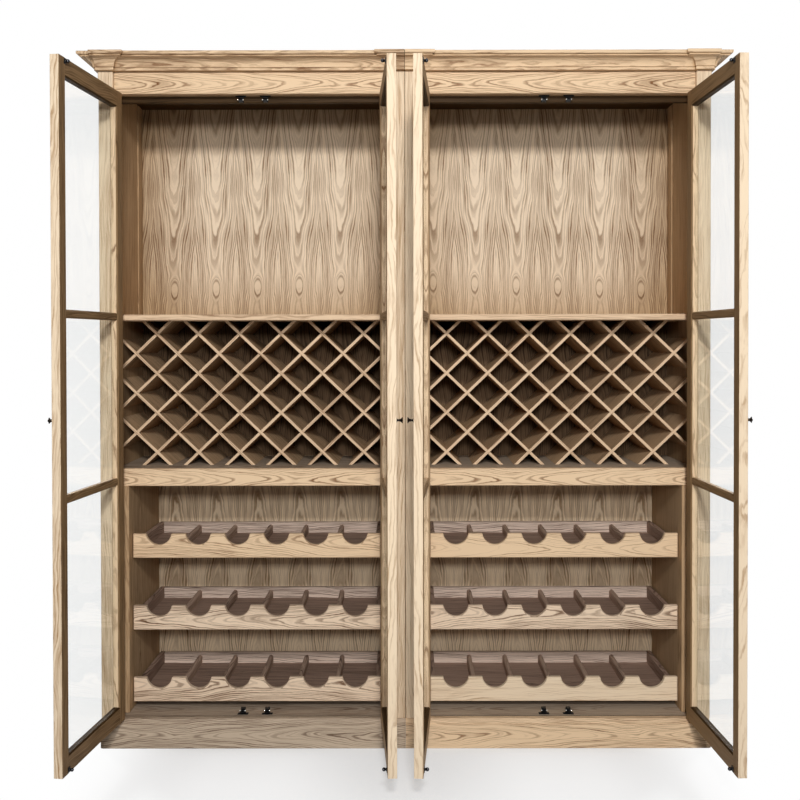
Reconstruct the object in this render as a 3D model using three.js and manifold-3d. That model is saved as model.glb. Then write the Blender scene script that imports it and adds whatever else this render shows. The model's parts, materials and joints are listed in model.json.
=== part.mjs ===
// A glazed oak wine cabinet: two mirrored units side by side, each with two glazed doors, a display
// compartment, a diagonal bottle rack and three pull-out bottle trays.
// Millimetres, +Z up, the front faces -Y. Each unit is built from the seam (x = 0) outwards.

import * as THREE from "three";
import { mergeVertices } from "three/addons/utils/BufferGeometryUtils.js";
import Module from "manifold-3d";

const wasm = await Module();
wasm.setup();

// Overall sizes of one unit
const UNIT_WIDTH = 940;
const UNIT_DEPTH = 444;
const HEIGHT = 2128;
const PLINTH_HEIGHT = 88;
const CORNICE_HEIGHT = 49;
const FRIEZE_HEIGHT = 67;

// Clearances
const FIT_GAP = 0.3;
const WELD_DISTANCE = 0.0001;
const OVERRUN = 5;

// Boards
const SIDE_THICKNESS = 22;
const TOP_THICKNESS = 18;
const FLOOR_THICKNESS = 22;
const SHELF_THICKNESS = 18;
const BACK_THICKNESS = 10;
const BACK_RECESS = 4;
const BACK_RAIL_THICKNESS = 18;
const BATTEN_BACK_GAP = 31;
const BATTEN_WIDTH = 37;
const BATTEN_THICKNESS = 5;

// Face frame
const PILASTER_WIDTH = 46;
const PILASTER_THICKNESS = 32;
const PILASTER_EASE = 2;
const FRIEZE_RECESS = 10;
const FRIEZE_THICKNESS = 22;

// Cornice, whose profile steps out from the face frame
const CORNICE_REACH = 50;
const CORNICE_BAND_HEIGHT = 9;
const CORNICE_BAND_REACH = 8;
const CORNICE_BEAD_HEIGHT = 3;
const CORNICE_BEAD_REACH = 11;
const CORNICE_COVE_HEIGHT = 22;
const CORNICE_COVE_REACH = 38;
const CORNICE_FILLET_HEIGHT = 5;
const CORNICE_FILLET_REACH = 42;
const CORNICE_QUIRK = 2;
const CORNICE_BLOCK_LEAD = 10;
const CORNICE_BLOCK_FLARE = 11;
const CORNICE_BLOCK_RETURN_SHARE = 0.9;
const COVE_STEPS = 6;

// Plinth
const PLINTH_REACH = 12;
const PLINTH_THICKNESS = 22;
const PLINTH_BEVEL_HEIGHT = 12;
const PLINTH_QUIRK = 2;
const PLINTH_CORNER_RADIUS = 10;
const PLINTH_CORNER_STEPS = 5;

// Inside levels, measured from the floor that the cabinet stands on
const INNER_FRONT = 48;
const SHELF_UNDERSIDE = 1317.5;
const RACK_FLOOR_TOP = 850;
const RACK_RAIL_LIP = 4;
const RACK_RAIL_HEIGHT = 54;
const RACK_RAIL_THICKNESS = 22;
const STOP_RAIL_DROP = 19;
const STOP_RAIL_THICKNESS = 18;
const STOP_RAIL_HEIGHT = 67;

// Diagonal bottle rack
const RACK_DEPTH = 250;
const RACK_BACK_GAP = 5;
const RACK_BOARD = 9;
const CELL_HALF_WIDTH = 67.1;
const CELL_HALF_HEIGHT = 64.1;
const RACK_SHORTEST_CORNER = 60;
const HALVING_GAP = 0.4;

// Doors
const DOOR_GAP = 1.5;
const MEETING_GAP = 2;
const DOOR_HEIGHT_GAP = 3;
const DOOR_THICKNESS = 25;
const STILE_WIDTH = 40;
const DOOR_RAIL_HEIGHT = 50;
const MUNTIN_HEIGHT = 23;
const MUNTIN_THICKNESS = 21;
const LIGHT_BEVEL = 4;
const GLASS_THICKNESS = 4;
const GLASS_REBATE = 8;
const LEFT_OUTER_DOOR_ANGLE = 96.3;
const RIGHT_OUTER_DOOR_ANGLE = 92.4;

// Butt hinges
const PIN_PROUD = 5;
const PIN_RADIUS = 2;
const KNUCKLE_RADIUS = 4;
const KNUCKLE_HEIGHT = 25;
const KNUCKLE_STEPS = 12;
const PIN_CAP_RADIUS = 3;
const PIN_CAP_HEIGHT = 4;
const HINGE_LEAF = 1.2;
const HINGE_LEAF_DEPTH = 24;
const HINGE_SINK = 1;
const HINGE_END_DISTANCE = 190;

// Knobs
const KNOB_LEVEL = 1041;
const KNOB_LENGTH = 17.5;
const KNOB_HEAD_RADIUS = 8.5;
const KNOB_NECK_RADIUS = 3.2;
const KNOB_ROSE_RADIUS = 7;
const KNOB_ROSE_HEIGHT = 2.2;
const KNOB_RIM = 1.6;
const KNOB_STEPS = 20;
const KNOB_MEETING_GAP = 10.7;

// Ball strikes on the doors and spring clips in the case
const CATCH_OFFSET = 38;
const BALL_RADIUS = 4.5;
const BALL_STEPS = 12;
const BALL_STAND = 11;
const BALL_EDGE_DISTANCE = 9.5;
const STEM_RADIUS = 1.8;
const STRIKE_PLATE_WIDTH = 13;
const STRIKE_PLATE_HEIGHT = 15;
const STRIKE_PLATE = 1.5;
const CLIP_WIDTH = 17;
const CLIP_SHEET = 1.2;
const CLIP_FLANGE_WIDTH = 33;
const CLIP_FRONT = 31;
const CLIP_BALL_GAP = 0.4;

// Runner panels that line the lower compartment
const RUNNER_PANEL_INSET = 30;
const RUNNER_PANEL_THICKNESS = 18;
const RUNNER_SPACER_DEPTH = 40;
const RUNNER_PANEL_BACK_GAP = 5;

// Pull-out bottle trays
const TRAY_COUNT = 3;
const TRAY_TOP = 187;
const TRAY_PITCH = 228;
const TRAY_FRONT_PLANE = 82;
const TRAY_SIDE_GAP = 3;
const TRAY_FRONT_HEIGHT = 76;
const TRAY_FRONT_THICKNESS = 18;
const TRAY_REAR_GAP = 6;
const TRAY_WALL = 16;
const TRAY_WALL_DROP = 22;
const TRAY_WALL_HEIGHT = 46;
const TRAY_WALL_INSET = 2;
const TRAY_FLOOR_DROP = 59;
const TRAY_FLOOR_THICKNESS = 6;
const SCALLOP_COUNT = 6;
const SCALLOP_END = 80.5;
const SCALLOP_RADIUS = 37.5;
const SCALLOP_LIP = 5;
const SCALLOP_STEPS = 12;
const LIP_STEPS = 3;
const DIVIDER_WIDTH = 16;
const DIVIDER_DROP = 31;
const DIVIDER_STEPS = 6;

// Tray runners
const RUNNER_SHEET = 2;
const RUNNER_FLANGE = 12;
const RUNNER_WEB = 22;
const RUNNER_BACK_GAP = 10;

// Colours and finishes
const PALE_OAK = { color: 0xcbb08a, roughness: 0.62, metalness: 0 };
const DEEP_OAK = { color: 0xb59a78, roughness: 0.66, metalness: 0 };
const RACK_OAK = { color: 0xbc9d74, roughness: 0.62, metalness: 0 };
const GREY_OAK = { color: 0x75604f, roughness: 0.7, metalness: 0 };
const CLEAR_GLASS = { color: 0xe8eeee, roughness: 0.05, metalness: 0, transparent: true, opacity: 0.25 };
const DARK_METAL = { color: 0x26221f, roughness: 0.4, metalness: 1 };

// Worked out from the sizes above
const BACK_PLANE = UNIT_DEPTH - BACK_RECESS - BACK_THICKNESS;
const BAY_WIDTH = UNIT_WIDTH - 2 * PILASTER_WIDTH;
const BAY_CENTRE = UNIT_WIDTH / 2;
const CORNICE_BOTTOM = HEIGHT - CORNICE_HEIGHT;
const OPENING_TOP = CORNICE_BOTTOM - FRIEZE_HEIGHT;
const RACK_RAIL_TOP = RACK_FLOOR_TOP + RACK_RAIL_LIP;
const RACK_FLOOR_BOTTOM = RACK_RAIL_TOP - RACK_RAIL_HEIGHT;
const LEAF_WIDTH = (BAY_WIDTH - MEETING_GAP) / 2 - DOOR_GAP;
const LEAF_BOTTOM = PLINTH_HEIGHT + DOOR_HEIGHT_GAP;
const LEAF_TOP = OPENING_TOP - DOOR_HEIGHT_GAP;
const PIN_INSET = PILASTER_WIDTH + DOOR_GAP / 2;
const RUNNER_PANEL_FACE = PILASTER_WIDTH + RUNNER_PANEL_INSET;
const TRAY_HALF_WIDTH = BAY_CENTRE - RUNNER_PANEL_FACE - TRAY_SIDE_GAP;
const TRAY_LENGTH = BACK_PLANE - TRAY_REAR_GAP - TRAY_FRONT_PLANE;
const SCALLOP_PITCH = (2 * (TRAY_HALF_WIDTH - SCALLOP_END)) / (SCALLOP_COUNT - 1);

// The inner doors open until their knobs all but meet in front of the seam
const KNOB_CENTRE = DOOR_GAP / 2 + LEAF_WIDTH - STILE_WIDTH / 2;
const KNOB_TIP_DISTANCE = Math.hypot(KNOB_CENTRE + KNOB_HEAD_RADIUS, KNOB_LENGTH + FIT_GAP - PIN_PROUD);
const KNOB_TIP_TURN = Math.atan2(KNOB_LENGTH + FIT_GAP - PIN_PROUD, KNOB_CENTRE + KNOB_HEAD_RADIUS);
const INNER_DOOR_ANGLE = THREE.MathUtils.radToDeg(
  Math.acos((KNOB_MEETING_GAP / 2 - PIN_INSET) / KNOB_TIP_DISTANCE) - KNOB_TIP_TURN,
);

// Solids: a closed mesh goes in, and booleans join or cut it

function solidOf(geometry) {
  const plain = geometry.index ? geometry.clone() : geometry;
  plain.deleteAttribute("normal");
  plain.deleteAttribute("uv");
  const merged = mergeVertices(plain, WELD_DISTANCE);
  const { array } = merged.attributes.position;
  return new wasm.Manifold(new wasm.Mesh({
    numProp: 3,
    vertProperties: new Float32Array(array),
    triVerts: new Uint32Array(merged.index.array),
  }));
}

function geometryOf(solid) {
  const mesh = solid.getMesh();
  const geometry = new THREE.BufferGeometry();
  geometry.setAttribute("position", new THREE.BufferAttribute(mesh.vertProperties, mesh.numProp));
  geometry.setIndex(new THREE.BufferAttribute(mesh.triVerts, 1));
  const flat = geometry.toNonIndexed();
  flat.computeVertexNormals();
  return flat;
}

function join(...solids) {
  return solids.reduce((whole, next) => whole.add(next));
}

function cut(solid, ...tools) {
  return tools.reduce((left, tool) => left.subtract(tool), solid);
}

function box(x0, x1, y0, y1, z0, z1) {
  const points = [[x0, y0], [x1, y0], [x1, y1], [x0, y1]];
  return loft([{ z: z0, points }, { z: z1, points }]);
}

function cylinder(radius, z0, z1, x, y, steps) {
  const geometry = new THREE.CylinderGeometry(radius, radius, z1 - z0, steps);
  geometry.rotateX(Math.PI / 2);
  geometry.translate(x, y, (z0 + z1) / 2);
  return solidOf(geometry);
}

// An outline in x and z, pushed back along y from front to back
function extrudeBack(points, front, back) {
  const shape = new THREE.Shape(points.map(([x, z]) => new THREE.Vector2(x, z)));
  const geometry = new THREE.ExtrudeGeometry(shape, { depth: back - front, bevelEnabled: false });
  geometry.rotateX(Math.PI / 2);
  geometry.translate(0, back, 0);
  return solidOf(geometry);
}

// A body through level rings of the same number of plan points, bottom ring first
function loft(rings) {
  const count = rings[0].points.length;
  const positions = rings.flatMap(({ z, points }) => points.flatMap(([x, y]) => [x, y, z]));
  const contour = rings[0].points.map(([x, y]) => new THREE.Vector2(x, y));
  const top = rings.at(-1).points.map(([x, y]) => new THREE.Vector2(x, y));
  const last = (rings.length - 1) * count;
  const triangles = [];
  for (const [a, b, c] of THREE.ShapeUtils.triangulateShape(contour, [])) triangles.push(c, b, a);
  for (const [a, b, c] of THREE.ShapeUtils.triangulateShape(top, [])) {
    triangles.push(last + a, last + b, last + c);
  }
  for (let ring = 0; ring < rings.length - 1; ring++) {
    for (let i = 0; i < count; i++) {
      const a = ring * count + i;
      const b = ring * count + ((i + 1) % count);
      triangles.push(a, b, b + count, a, b + count, a + count);
    }
  }
  const geometry = new THREE.BufferGeometry();
  geometry.setAttribute("position", new THREE.Float32BufferAttribute(positions, 3));
  geometry.setIndex(triangles);
  return solidOf(geometry);
}

function arc(cx, cy, radius, from, to, steps) {
  return Array.from({ length: steps + 1 }, (_, i) => {
    const angle = from + ((to - from) * i) / steps;
    return [cx + radius * Math.cos(angle), cy + radius * Math.sin(angle)];
  });
}

function addMesh(group, name, solid, finish) {
  const geometry = solid.isBufferGeometry ? solid : geometryOf(solid);
  const mesh = new THREE.Mesh(geometry, new THREE.MeshStandardMaterial(finish));
  mesh.name = name;
  group.add(mesh);
  return mesh;
}

// Hinges: two case knuckles on a pin, and one bored door knuckle between them

function hingeLevels() {
  const middle = (LEAF_BOTTOM + LEAF_TOP) / 2;
  return [LEAF_BOTTOM + HINGE_END_DISTANCE, middle, LEAF_TOP - HINGE_END_DISTANCE];
}

function caseHinge(level) {
  const half = KNUCKLE_HEIGHT / 2;
  const end = half + KNUCKLE_HEIGHT;
  const back = PIN_PROUD + HINGE_LEAF_DEPTH;
  const leafLeft = -DOOR_GAP / 2 - HINGE_SINK;
  const leafRight = leafLeft + HINGE_SINK + HINGE_LEAF - DOOR_GAP / 2;
  const parts = [cylinder(PIN_RADIUS, level - end - PIN_CAP_HEIGHT, level + end + PIN_CAP_HEIGHT,
    0, 0, KNUCKLE_STEPS)];
  for (const side of [-1, 1]) {
    const low = side < 0 ? level - end : level + half;
    const high = low + KNUCKLE_HEIGHT;
    const capLow = side < 0 ? low - PIN_CAP_HEIGHT : high;
    parts.push(cylinder(KNUCKLE_RADIUS, low, high, 0, 0, KNUCKLE_STEPS));
    parts.push(cylinder(PIN_CAP_RADIUS, capLow, capLow + PIN_CAP_HEIGHT, 0, 0, KNUCKLE_STEPS));
    parts.push(box(leafLeft, leafRight, 0, back, low, high));
  }
  return join(...parts);
}

function doorHinge(level) {
  const low = level - KNUCKLE_HEIGHT / 2 + FIT_GAP;
  const high = level + KNUCKLE_HEIGHT / 2 - FIT_GAP;
  const leafRight = DOOR_GAP / 2 + HINGE_SINK;
  const leaf = box(leafRight - HINGE_SINK - HINGE_LEAF / 2, leafRight, 0, PIN_PROUD + HINGE_LEAF_DEPTH,
    low, high);
  const barrel = cylinder(KNUCKLE_RADIUS, low, high, 0, 0, KNUCKLE_STEPS);
  const bore = cylinder(PIN_RADIUS + FIT_GAP, low - OVERRUN, high + OVERRUN, 0, 0, KNUCKLE_STEPS);
  return cut(join(barrel, leaf), bore);
}

// Case

function pilaster() {
  const ease = PILASTER_EASE;
  const outline = [
    [ease, 0], [PILASTER_WIDTH - ease, 0], [PILASTER_WIDTH, ease],
    [PILASTER_WIDTH, PILASTER_THICKNESS], [0, PILASTER_THICKNESS], [0, ease],
  ];
  return loft([
    { z: PLINTH_HEIGHT + FIT_GAP, points: outline },
    { z: CORNICE_BOTTOM - FIT_GAP, points: outline },
  ]);
}

function hingesAt(x) {
  return hingeLevels().map((level) => caseHinge(level).translate([x, -PIN_PROUD, 0]));
}

// The inner side stands at the seam, and the outer side is the same board turned over
function side(atSeam) {
  const start = atSeam ? FIT_GAP / 2 : 0;
  const panel = box(start, SIDE_THICKNESS, PILASTER_THICKNESS - OVERRUN, UNIT_DEPTH,
    PLINTH_HEIGHT + FIT_GAP, CORNICE_BOTTOM - FIT_GAP);
  const stile = atSeam
    ? cut(pilaster(), box(-OVERRUN, start, -OVERRUN, PILASTER_THICKNESS + OVERRUN, 0, HEIGHT))
    : pilaster();
  const battenBack = BACK_PLANE - BATTEN_BACK_GAP;
  const batten = box(SIDE_THICKNESS - OVERRUN, SIDE_THICKNESS + BATTEN_THICKNESS,
    battenBack - BATTEN_WIDTH, battenBack, SHELF_UNDERSIDE + SHELF_THICKNESS + FIT_GAP,
    CORNICE_BOTTOM - TOP_THICKNESS - 2 * FIT_GAP);
  return join(stile, panel, batten, ...hingesAt(PIN_INSET));
}

function cornicePlan(reach) {
  const flare = (CORNICE_BLOCK_FLARE * reach) / CORNICE_REACH;
  const start = FIT_GAP / 2;
  const front = -reach;
  const blockFront = front - CORNICE_BLOCK_LEAD;
  const blockEnd = PILASTER_WIDTH + reach * CORNICE_BLOCK_RETURN_SHARE;
  return [
    [start, blockFront],
    [blockEnd, blockFront],
    [blockEnd, front],
    [UNIT_WIDTH - blockEnd, front],
    [UNIT_WIDTH - blockEnd, blockFront],
    [UNIT_WIDTH + flare, blockFront],
    [UNIT_WIDTH + flare, front],
    [UNIT_WIDTH + reach, front],
    [UNIT_WIDTH + reach, UNIT_DEPTH],
    [UNIT_WIDTH - SIDE_THICKNESS, UNIT_DEPTH],
    [UNIT_WIDTH - SIDE_THICKNESS, PILASTER_THICKNESS],
    [start, PILASTER_THICKNESS],
  ];
}

function cornice() {
  const beadTop = CORNICE_BAND_HEIGHT + CORNICE_BEAD_HEIGHT;
  const coveTop = beadTop + CORNICE_COVE_HEIGHT;
  const filletTop = coveTop + CORNICE_FILLET_HEIGHT;
  const coveReach = CORNICE_COVE_REACH - CORNICE_BEAD_REACH;
  const cove = Array.from({ length: COVE_STEPS + 1 }, (_, i) => {
    const angle = (Math.PI / 2) * (i / COVE_STEPS);
    const reach = CORNICE_BEAD_REACH + coveReach * (1 - Math.cos(angle));
    return [reach, beadTop + CORNICE_COVE_HEIGHT * Math.sin(angle)];
  });
  const profile = [
    [CORNICE_BAND_REACH, 0],
    [CORNICE_BAND_REACH, CORNICE_BAND_HEIGHT],
    [CORNICE_BEAD_REACH, CORNICE_BAND_HEIGHT],
    ...cove,
    [CORNICE_FILLET_REACH, coveTop],
    [CORNICE_FILLET_REACH, filletTop],
    [CORNICE_REACH - CORNICE_QUIRK, filletTop],
    [CORNICE_REACH, filletTop + CORNICE_QUIRK],
    [CORNICE_REACH, CORNICE_HEIGHT],
  ];
  return loft(profile.map(([reach, rise]) => ({ z: CORNICE_BOTTOM + rise, points: cornicePlan(reach) })));
}

function plinthPlan(reach) {
  const radius = PLINTH_CORNER_RADIUS;
  return [
    [FIT_GAP / 2, -reach],
    ...arc(UNIT_WIDTH - radius, radius - reach, radius, -Math.PI / 2, 0, PLINTH_CORNER_STEPS),
    [UNIT_WIDTH, UNIT_DEPTH],
    [UNIT_WIDTH - SIDE_THICKNESS, UNIT_DEPTH],
    [UNIT_WIDTH - SIDE_THICKNESS, PLINTH_THICKNESS],
    [FIT_GAP / 2, PLINTH_THICKNESS],
  ];
}

// The moulded plinth with its inner bearers and the floor of the case
function base() {
  const quirkTop = PLINTH_HEIGHT - PLINTH_BEVEL_HEIGHT;
  const profile = [
    [PLINTH_REACH, 0],
    [PLINTH_REACH, quirkTop - PLINTH_QUIRK],
    [PLINTH_REACH - PLINTH_QUIRK, quirkTop - PLINTH_QUIRK],
    [PLINTH_REACH - PLINTH_QUIRK, quirkTop],
    [0, PLINTH_HEIGHT],
  ];
  const moulding = loft(profile.map(([reach, z]) => ({ z, points: plinthPlan(reach) })));
  const floor = box(FIT_GAP / 2, UNIT_WIDTH - SIDE_THICKNESS + OVERRUN, PLINTH_THICKNESS - OVERRUN,
    UNIT_DEPTH, PLINTH_HEIGHT - FLOOR_THICKNESS, PLINTH_HEIGHT);
  const seamBearer = box(FIT_GAP / 2, SIDE_THICKNESS, PLINTH_THICKNESS - OVERRUN, UNIT_DEPTH,
    0, PLINTH_HEIGHT - FLOOR_THICKNESS + OVERRUN);
  const backRail = box(FIT_GAP / 2, UNIT_WIDTH - SIDE_THICKNESS + OVERRUN, UNIT_DEPTH - BACK_RAIL_THICKNESS,
    UNIT_DEPTH, 0, PLINTH_HEIGHT - FLOOR_THICKNESS + OVERRUN);
  const clips = [-1, 1].map((sign) =>
    clip(1).translate([BAY_CENTRE + sign * CATCH_OFFSET, 0, PLINTH_HEIGHT]));
  return join(moulding, floor, seamBearer, backRail, ...clips);
}

// A sprung clip on its flange; way is 1 where it stands on the floor, -1 where it hangs
function clip(way) {
  const level = DOOR_HEIGHT_GAP + BALL_EDGE_DISTANCE;
  const inner = BALL_RADIUS + CLIP_BALL_GAP;
  const half = CLIP_WIDTH / 2;
  const flange = box(-CLIP_FLANGE_WIDTH / 2, CLIP_FLANGE_WIDTH / 2, CLIP_FRONT, INNER_FRONT,
    -FIT_GAP, CLIP_SHEET);
  const spine = box(-half, half, INNER_FRONT - CLIP_SHEET, INNER_FRONT, 0, level + inner + CLIP_SHEET);
  const jaws = [-1, 1].map((sign) => {
    const low = level + sign * (inner + CLIP_SHEET / 2) - CLIP_SHEET / 2;
    return box(-half, half, CLIP_FRONT, INNER_FRONT, low, low + CLIP_SHEET);
  });
  const whole = join(flange, spine, ...jaws);
  return way > 0 ? whole : whole.mirror([0, 0, 1]);
}

// Frieze board with the soffit packing and the stop rail that the doors shut below
function header() {
  const left = PILASTER_WIDTH + FIT_GAP;
  const right = UNIT_WIDTH - PILASTER_WIDTH - FIT_GAP;
  const frieze = box(left, right, FRIEZE_RECESS, FRIEZE_RECESS + FRIEZE_THICKNESS,
    OPENING_TOP, CORNICE_BOTTOM - FIT_GAP);
  const stopBottom = OPENING_TOP - STOP_RAIL_DROP;
  const packing = box(left, right, FRIEZE_RECESS + FRIEZE_THICKNESS - OVERRUN, INNER_FRONT + OVERRUN,
    OPENING_TOP, stopBottom + STOP_RAIL_HEIGHT);
  const stop = box(SIDE_THICKNESS + FIT_GAP, UNIT_WIDTH - SIDE_THICKNESS - FIT_GAP, INNER_FRONT,
    INNER_FRONT + STOP_RAIL_THICKNESS, stopBottom, stopBottom + STOP_RAIL_HEIGHT);
  const clips = [-1, 1].map((sign) =>
    clip(-1).translate([BAY_CENTRE + sign * CATCH_OFFSET, 0, OPENING_TOP]));
  return join(frieze, packing, stop, ...clips);
}

function panelBetweenSides(front, back, bottom, top) {
  return box(SIDE_THICKNESS + FIT_GAP, UNIT_WIDTH - SIDE_THICKNESS - FIT_GAP, front, back, bottom, top);
}

function rackFloor() {
  const rail = panelBetweenSides(INNER_FRONT, INNER_FRONT + RACK_RAIL_THICKNESS,
    RACK_FLOOR_BOTTOM, RACK_RAIL_TOP);
  const floor = panelBetweenSides(INNER_FRONT + RACK_RAIL_THICKNESS - OVERRUN, BACK_PLANE - FIT_GAP,
    RACK_FLOOR_TOP - SHELF_THICKNESS, RACK_FLOOR_TOP);
  return join(rail, floor);
}

// A runner panel stands off the side on two spacers and carries the fixed tray runners
function runnerPanel() {
  const bottom = PLINTH_HEIGHT + FIT_GAP;
  const top = RACK_FLOOR_BOTTOM - FIT_GAP;
  const back = BACK_PLANE - RUNNER_PANEL_BACK_GAP;
  const face = RUNNER_PANEL_FACE;
  const inner = face - RUNNER_PANEL_THICKNESS;
  const board = box(inner, face, INNER_FRONT, back, bottom, top);
  const spacers = [INNER_FRONT, back - RUNNER_SPACER_DEPTH].map((y) =>
    box(SIDE_THICKNESS + FIT_GAP, inner + OVERRUN, y, y + RUNNER_SPACER_DEPTH, bottom, top));
  const runners = trayTops().flatMap((trayTop) => {
    const seat = trayTop - TRAY_WALL_DROP - TRAY_WALL_HEIGHT - FIT_GAP;
    const start = TRAY_FRONT_PLANE + TRAY_FRONT_THICKNESS + FIT_GAP;
    const web = box(face - OVERRUN, face + RUNNER_SHEET, start, back - RUNNER_BACK_GAP,
      seat - RUNNER_SHEET, seat + RUNNER_WEB - RUNNER_SHEET);
    const flange = box(face, face + RUNNER_FLANGE, start, back - RUNNER_BACK_GAP,
      seat - RUNNER_SHEET, seat);
    return [web, flange];
  });
  return join(board, ...spacers, ...runners);
}

function trayTops() {
  return Array.from({ length: TRAY_COUNT }, (_, i) => TRAY_TOP + i * TRAY_PITCH);
}

// Bottle rack: two families of boards, halved into each other wherever they cross

const RACK_BOTTOM = RACK_FLOOR_TOP + FIT_GAP;
const RACK_TOP = SHELF_UNDERSIDE - FIT_GAP;
const RACK_HALF_WIDTH = BAY_CENTRE - SIDE_THICKNESS - FIT_GAP;
const RACK_BACK = BACK_PLANE - RACK_BACK_GAP;
const RACK_FRONT = RACK_BACK - RACK_DEPTH;
const RACK_MIDDLE = (RACK_FRONT + RACK_BACK) / 2;
const RACK_CENTRE_LEVEL = (RACK_BOTTOM + RACK_TOP) / 2;

function rackBoard(index, falling, thickness, front, back) {
  const length = Math.hypot(UNIT_WIDTH, HEIGHT);
  const tilt = Math.atan2(CELL_HALF_HEIGHT, CELL_HALF_WIDTH);
  const geometry = new THREE.BoxGeometry(length, back - front, thickness);
  geometry.rotateY(falling ? tilt : -tilt);
  geometry.translate(BAY_CENTRE + 2 * index * CELL_HALF_WIDTH, (front + back) / 2, RACK_CENTRE_LEVEL);
  return solidOf(geometry);
}

function rackBoardCount() {
  const halfHeight = (RACK_TOP - RACK_BOTTOM) / 2;
  const reach = RACK_HALF_WIDTH + (halfHeight * CELL_HALF_WIDTH) / CELL_HALF_HEIGHT;
  return Math.floor((reach - RACK_SHORTEST_CORNER) / (2 * CELL_HALF_WIDTH));
}

function halvedBoard(index, falling, last, keptCrossings) {
  const room = box(BAY_CENTRE - RACK_HALF_WIDTH, BAY_CENTRE + RACK_HALF_WIDTH, RACK_FRONT, RACK_BACK,
    RACK_BOTTOM, RACK_TOP);
  let board = rackBoard(index, falling, RACK_BOARD, RACK_FRONT, RACK_BACK).intersect(room);
  const front = falling ? RACK_FRONT - OVERRUN : RACK_MIDDLE - HALVING_GAP / 2;
  const back = falling ? RACK_MIDDLE + HALVING_GAP / 2 : RACK_BACK + OVERRUN;
  for (let other = -last; other <= last; other++) {
    if (keptCrossings.includes(other)) continue;
    board = board.subtract(rackBoard(other, !falling, RACK_BOARD + HALVING_GAP * 2, front, back));
  }
  return board;
}

// Boards are glued up in crossed pairs; a corner board, which meets its own twin outside the rack,
// is glued to the last pair that it crosses
function rackGroups() {
  const last = rackBoardCount();
  const columns = Math.floor(RACK_HALF_WIDTH / CELL_HALF_WIDTH);
  const lastPair = Math.floor(columns / 2);
  const groups = [];
  for (let index = -lastPair; index <= lastPair; index++) {
    const corner = columns - Math.abs(index);
    const corners = corner > lastPair && corner <= last ? [Math.sign(index) * corner] : [];
    const kept = [index, ...corners];
    const boards = [halvedBoard(index, true, last, kept), halvedBoard(index, false, last, kept)];
    for (const other of corners) {
      boards.push(halvedBoard(other, true, last, [index]), halvedBoard(other, false, last, [index]));
    }
    groups.push(join(...boards));
  }
  return groups;
}

// Door leaf, drawn from its pin: u runs along the door, y back through it

const LEAF_START = DOOR_GAP / 2;
const LEAF_END = LEAF_START + LEAF_WIDTH;
const LEAF_FRONT = PIN_PROUD;
const LEAF_BACK = PIN_PROUD + DOOR_THICKNESS;
const GLASS_MIDDLE = (LEAF_FRONT + LEAF_BACK) / 2;

function muntinLevels() {
  return [RACK_RAIL_TOP - RACK_RAIL_HEIGHT / 2, SHELF_UNDERSIDE + SHELF_THICKNESS / 2];
}

// A light's opening, which flares towards the front over the bevel
function lightCutter(bottom, top) {
  const left = LEAF_START + STILE_WIDTH;
  const right = LEAF_END - STILE_WIDTH;
  const ring = (y, grow) => ({
    z: y,
    points: [[left - grow, bottom - grow], [right + grow, bottom - grow],
      [right + grow, top + grow], [left - grow, top + grow]],
  });
  const rings = [
    ring(LEAF_FRONT - OVERRUN, LIGHT_BEVEL + OVERRUN),
    ring(LEAF_FRONT + LIGHT_BEVEL, 0),
    ring(LEAF_BACK - LIGHT_BEVEL, 0),
    ring(LEAF_BACK + OVERRUN, LIGHT_BEVEL + OVERRUN),
  ];
  return loft(rings).rotate([-90, 0, 0]).mirror([0, 0, 1]);
}

function doorFrame() {
  const levels = muntinLevels();
  const half = MUNTIN_HEIGHT / 2;
  const edges = [LEAF_BOTTOM + DOOR_RAIL_HEIGHT, ...levels.flatMap((z) => [z - half, z + half]),
    LEAF_TOP - DOOR_RAIL_HEIGHT];
  const slab = box(LEAF_START, LEAF_END, LEAF_FRONT, LEAF_BACK, LEAF_BOTTOM, LEAF_TOP);
  const lights = [0, 2, 4].map((i) => lightCutter(edges[i], edges[i + 1]));
  const thin = (DOOR_THICKNESS - MUNTIN_THICKNESS) / 2;
  const planes = levels.flatMap((z) => [
    [LEAF_FRONT - OVERRUN, LEAF_FRONT + thin], [LEAF_BACK - thin, LEAF_BACK + OVERRUN],
  ].map(([front, back]) => box(LEAF_START + STILE_WIDTH, LEAF_END - STILE_WIDTH, front, back,
    z - half - LIGHT_BEVEL - thin, z + half + LIGHT_BEVEL + thin)));
  const slot = GLASS_THICKNESS / 2 + FIT_GAP;
  const groove = GLASS_REBATE + FIT_GAP;
  const rebate = box(LEAF_START + STILE_WIDTH - groove, LEAF_END - STILE_WIDTH + groove,
    GLASS_MIDDLE - slot, GLASS_MIDDLE + slot,
    LEAF_BOTTOM + DOOR_RAIL_HEIGHT - groove, LEAF_TOP - DOOR_RAIL_HEIGHT + groove);
  const frame = cut(slab, ...lights, ...planes, rebate);
  return join(frame, ...hingeLevels().map(doorHinge), strike(LEAF_BOTTOM + BALL_EDGE_DISTANCE),
    strike(LEAF_TOP - BALL_EDGE_DISTANCE));
}

function strike(level) {
  const u = BAY_CENTRE - CATCH_OFFSET - PIN_INSET;
  const plate = box(u - STRIKE_PLATE_WIDTH / 2, u + STRIKE_PLATE_WIDTH / 2, LEAF_BACK - OVERRUN,
    LEAF_BACK + STRIKE_PLATE, level - STRIKE_PLATE_HEIGHT / 2, level + STRIKE_PLATE_HEIGHT / 2);
  const stem = cylinder(STEM_RADIUS, 0, BALL_STAND, 0, 0, BALL_STEPS)
    .rotate([-90, 0, 0])
    .translate([u, LEAF_BACK, level]);
  const ball = solidOf(new THREE.SphereGeometry(BALL_RADIUS, BALL_STEPS, BALL_STEPS / 2))
    .translate([u, LEAF_BACK + BALL_STAND, level]);
  return join(plate, stem, ball);
}

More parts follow.
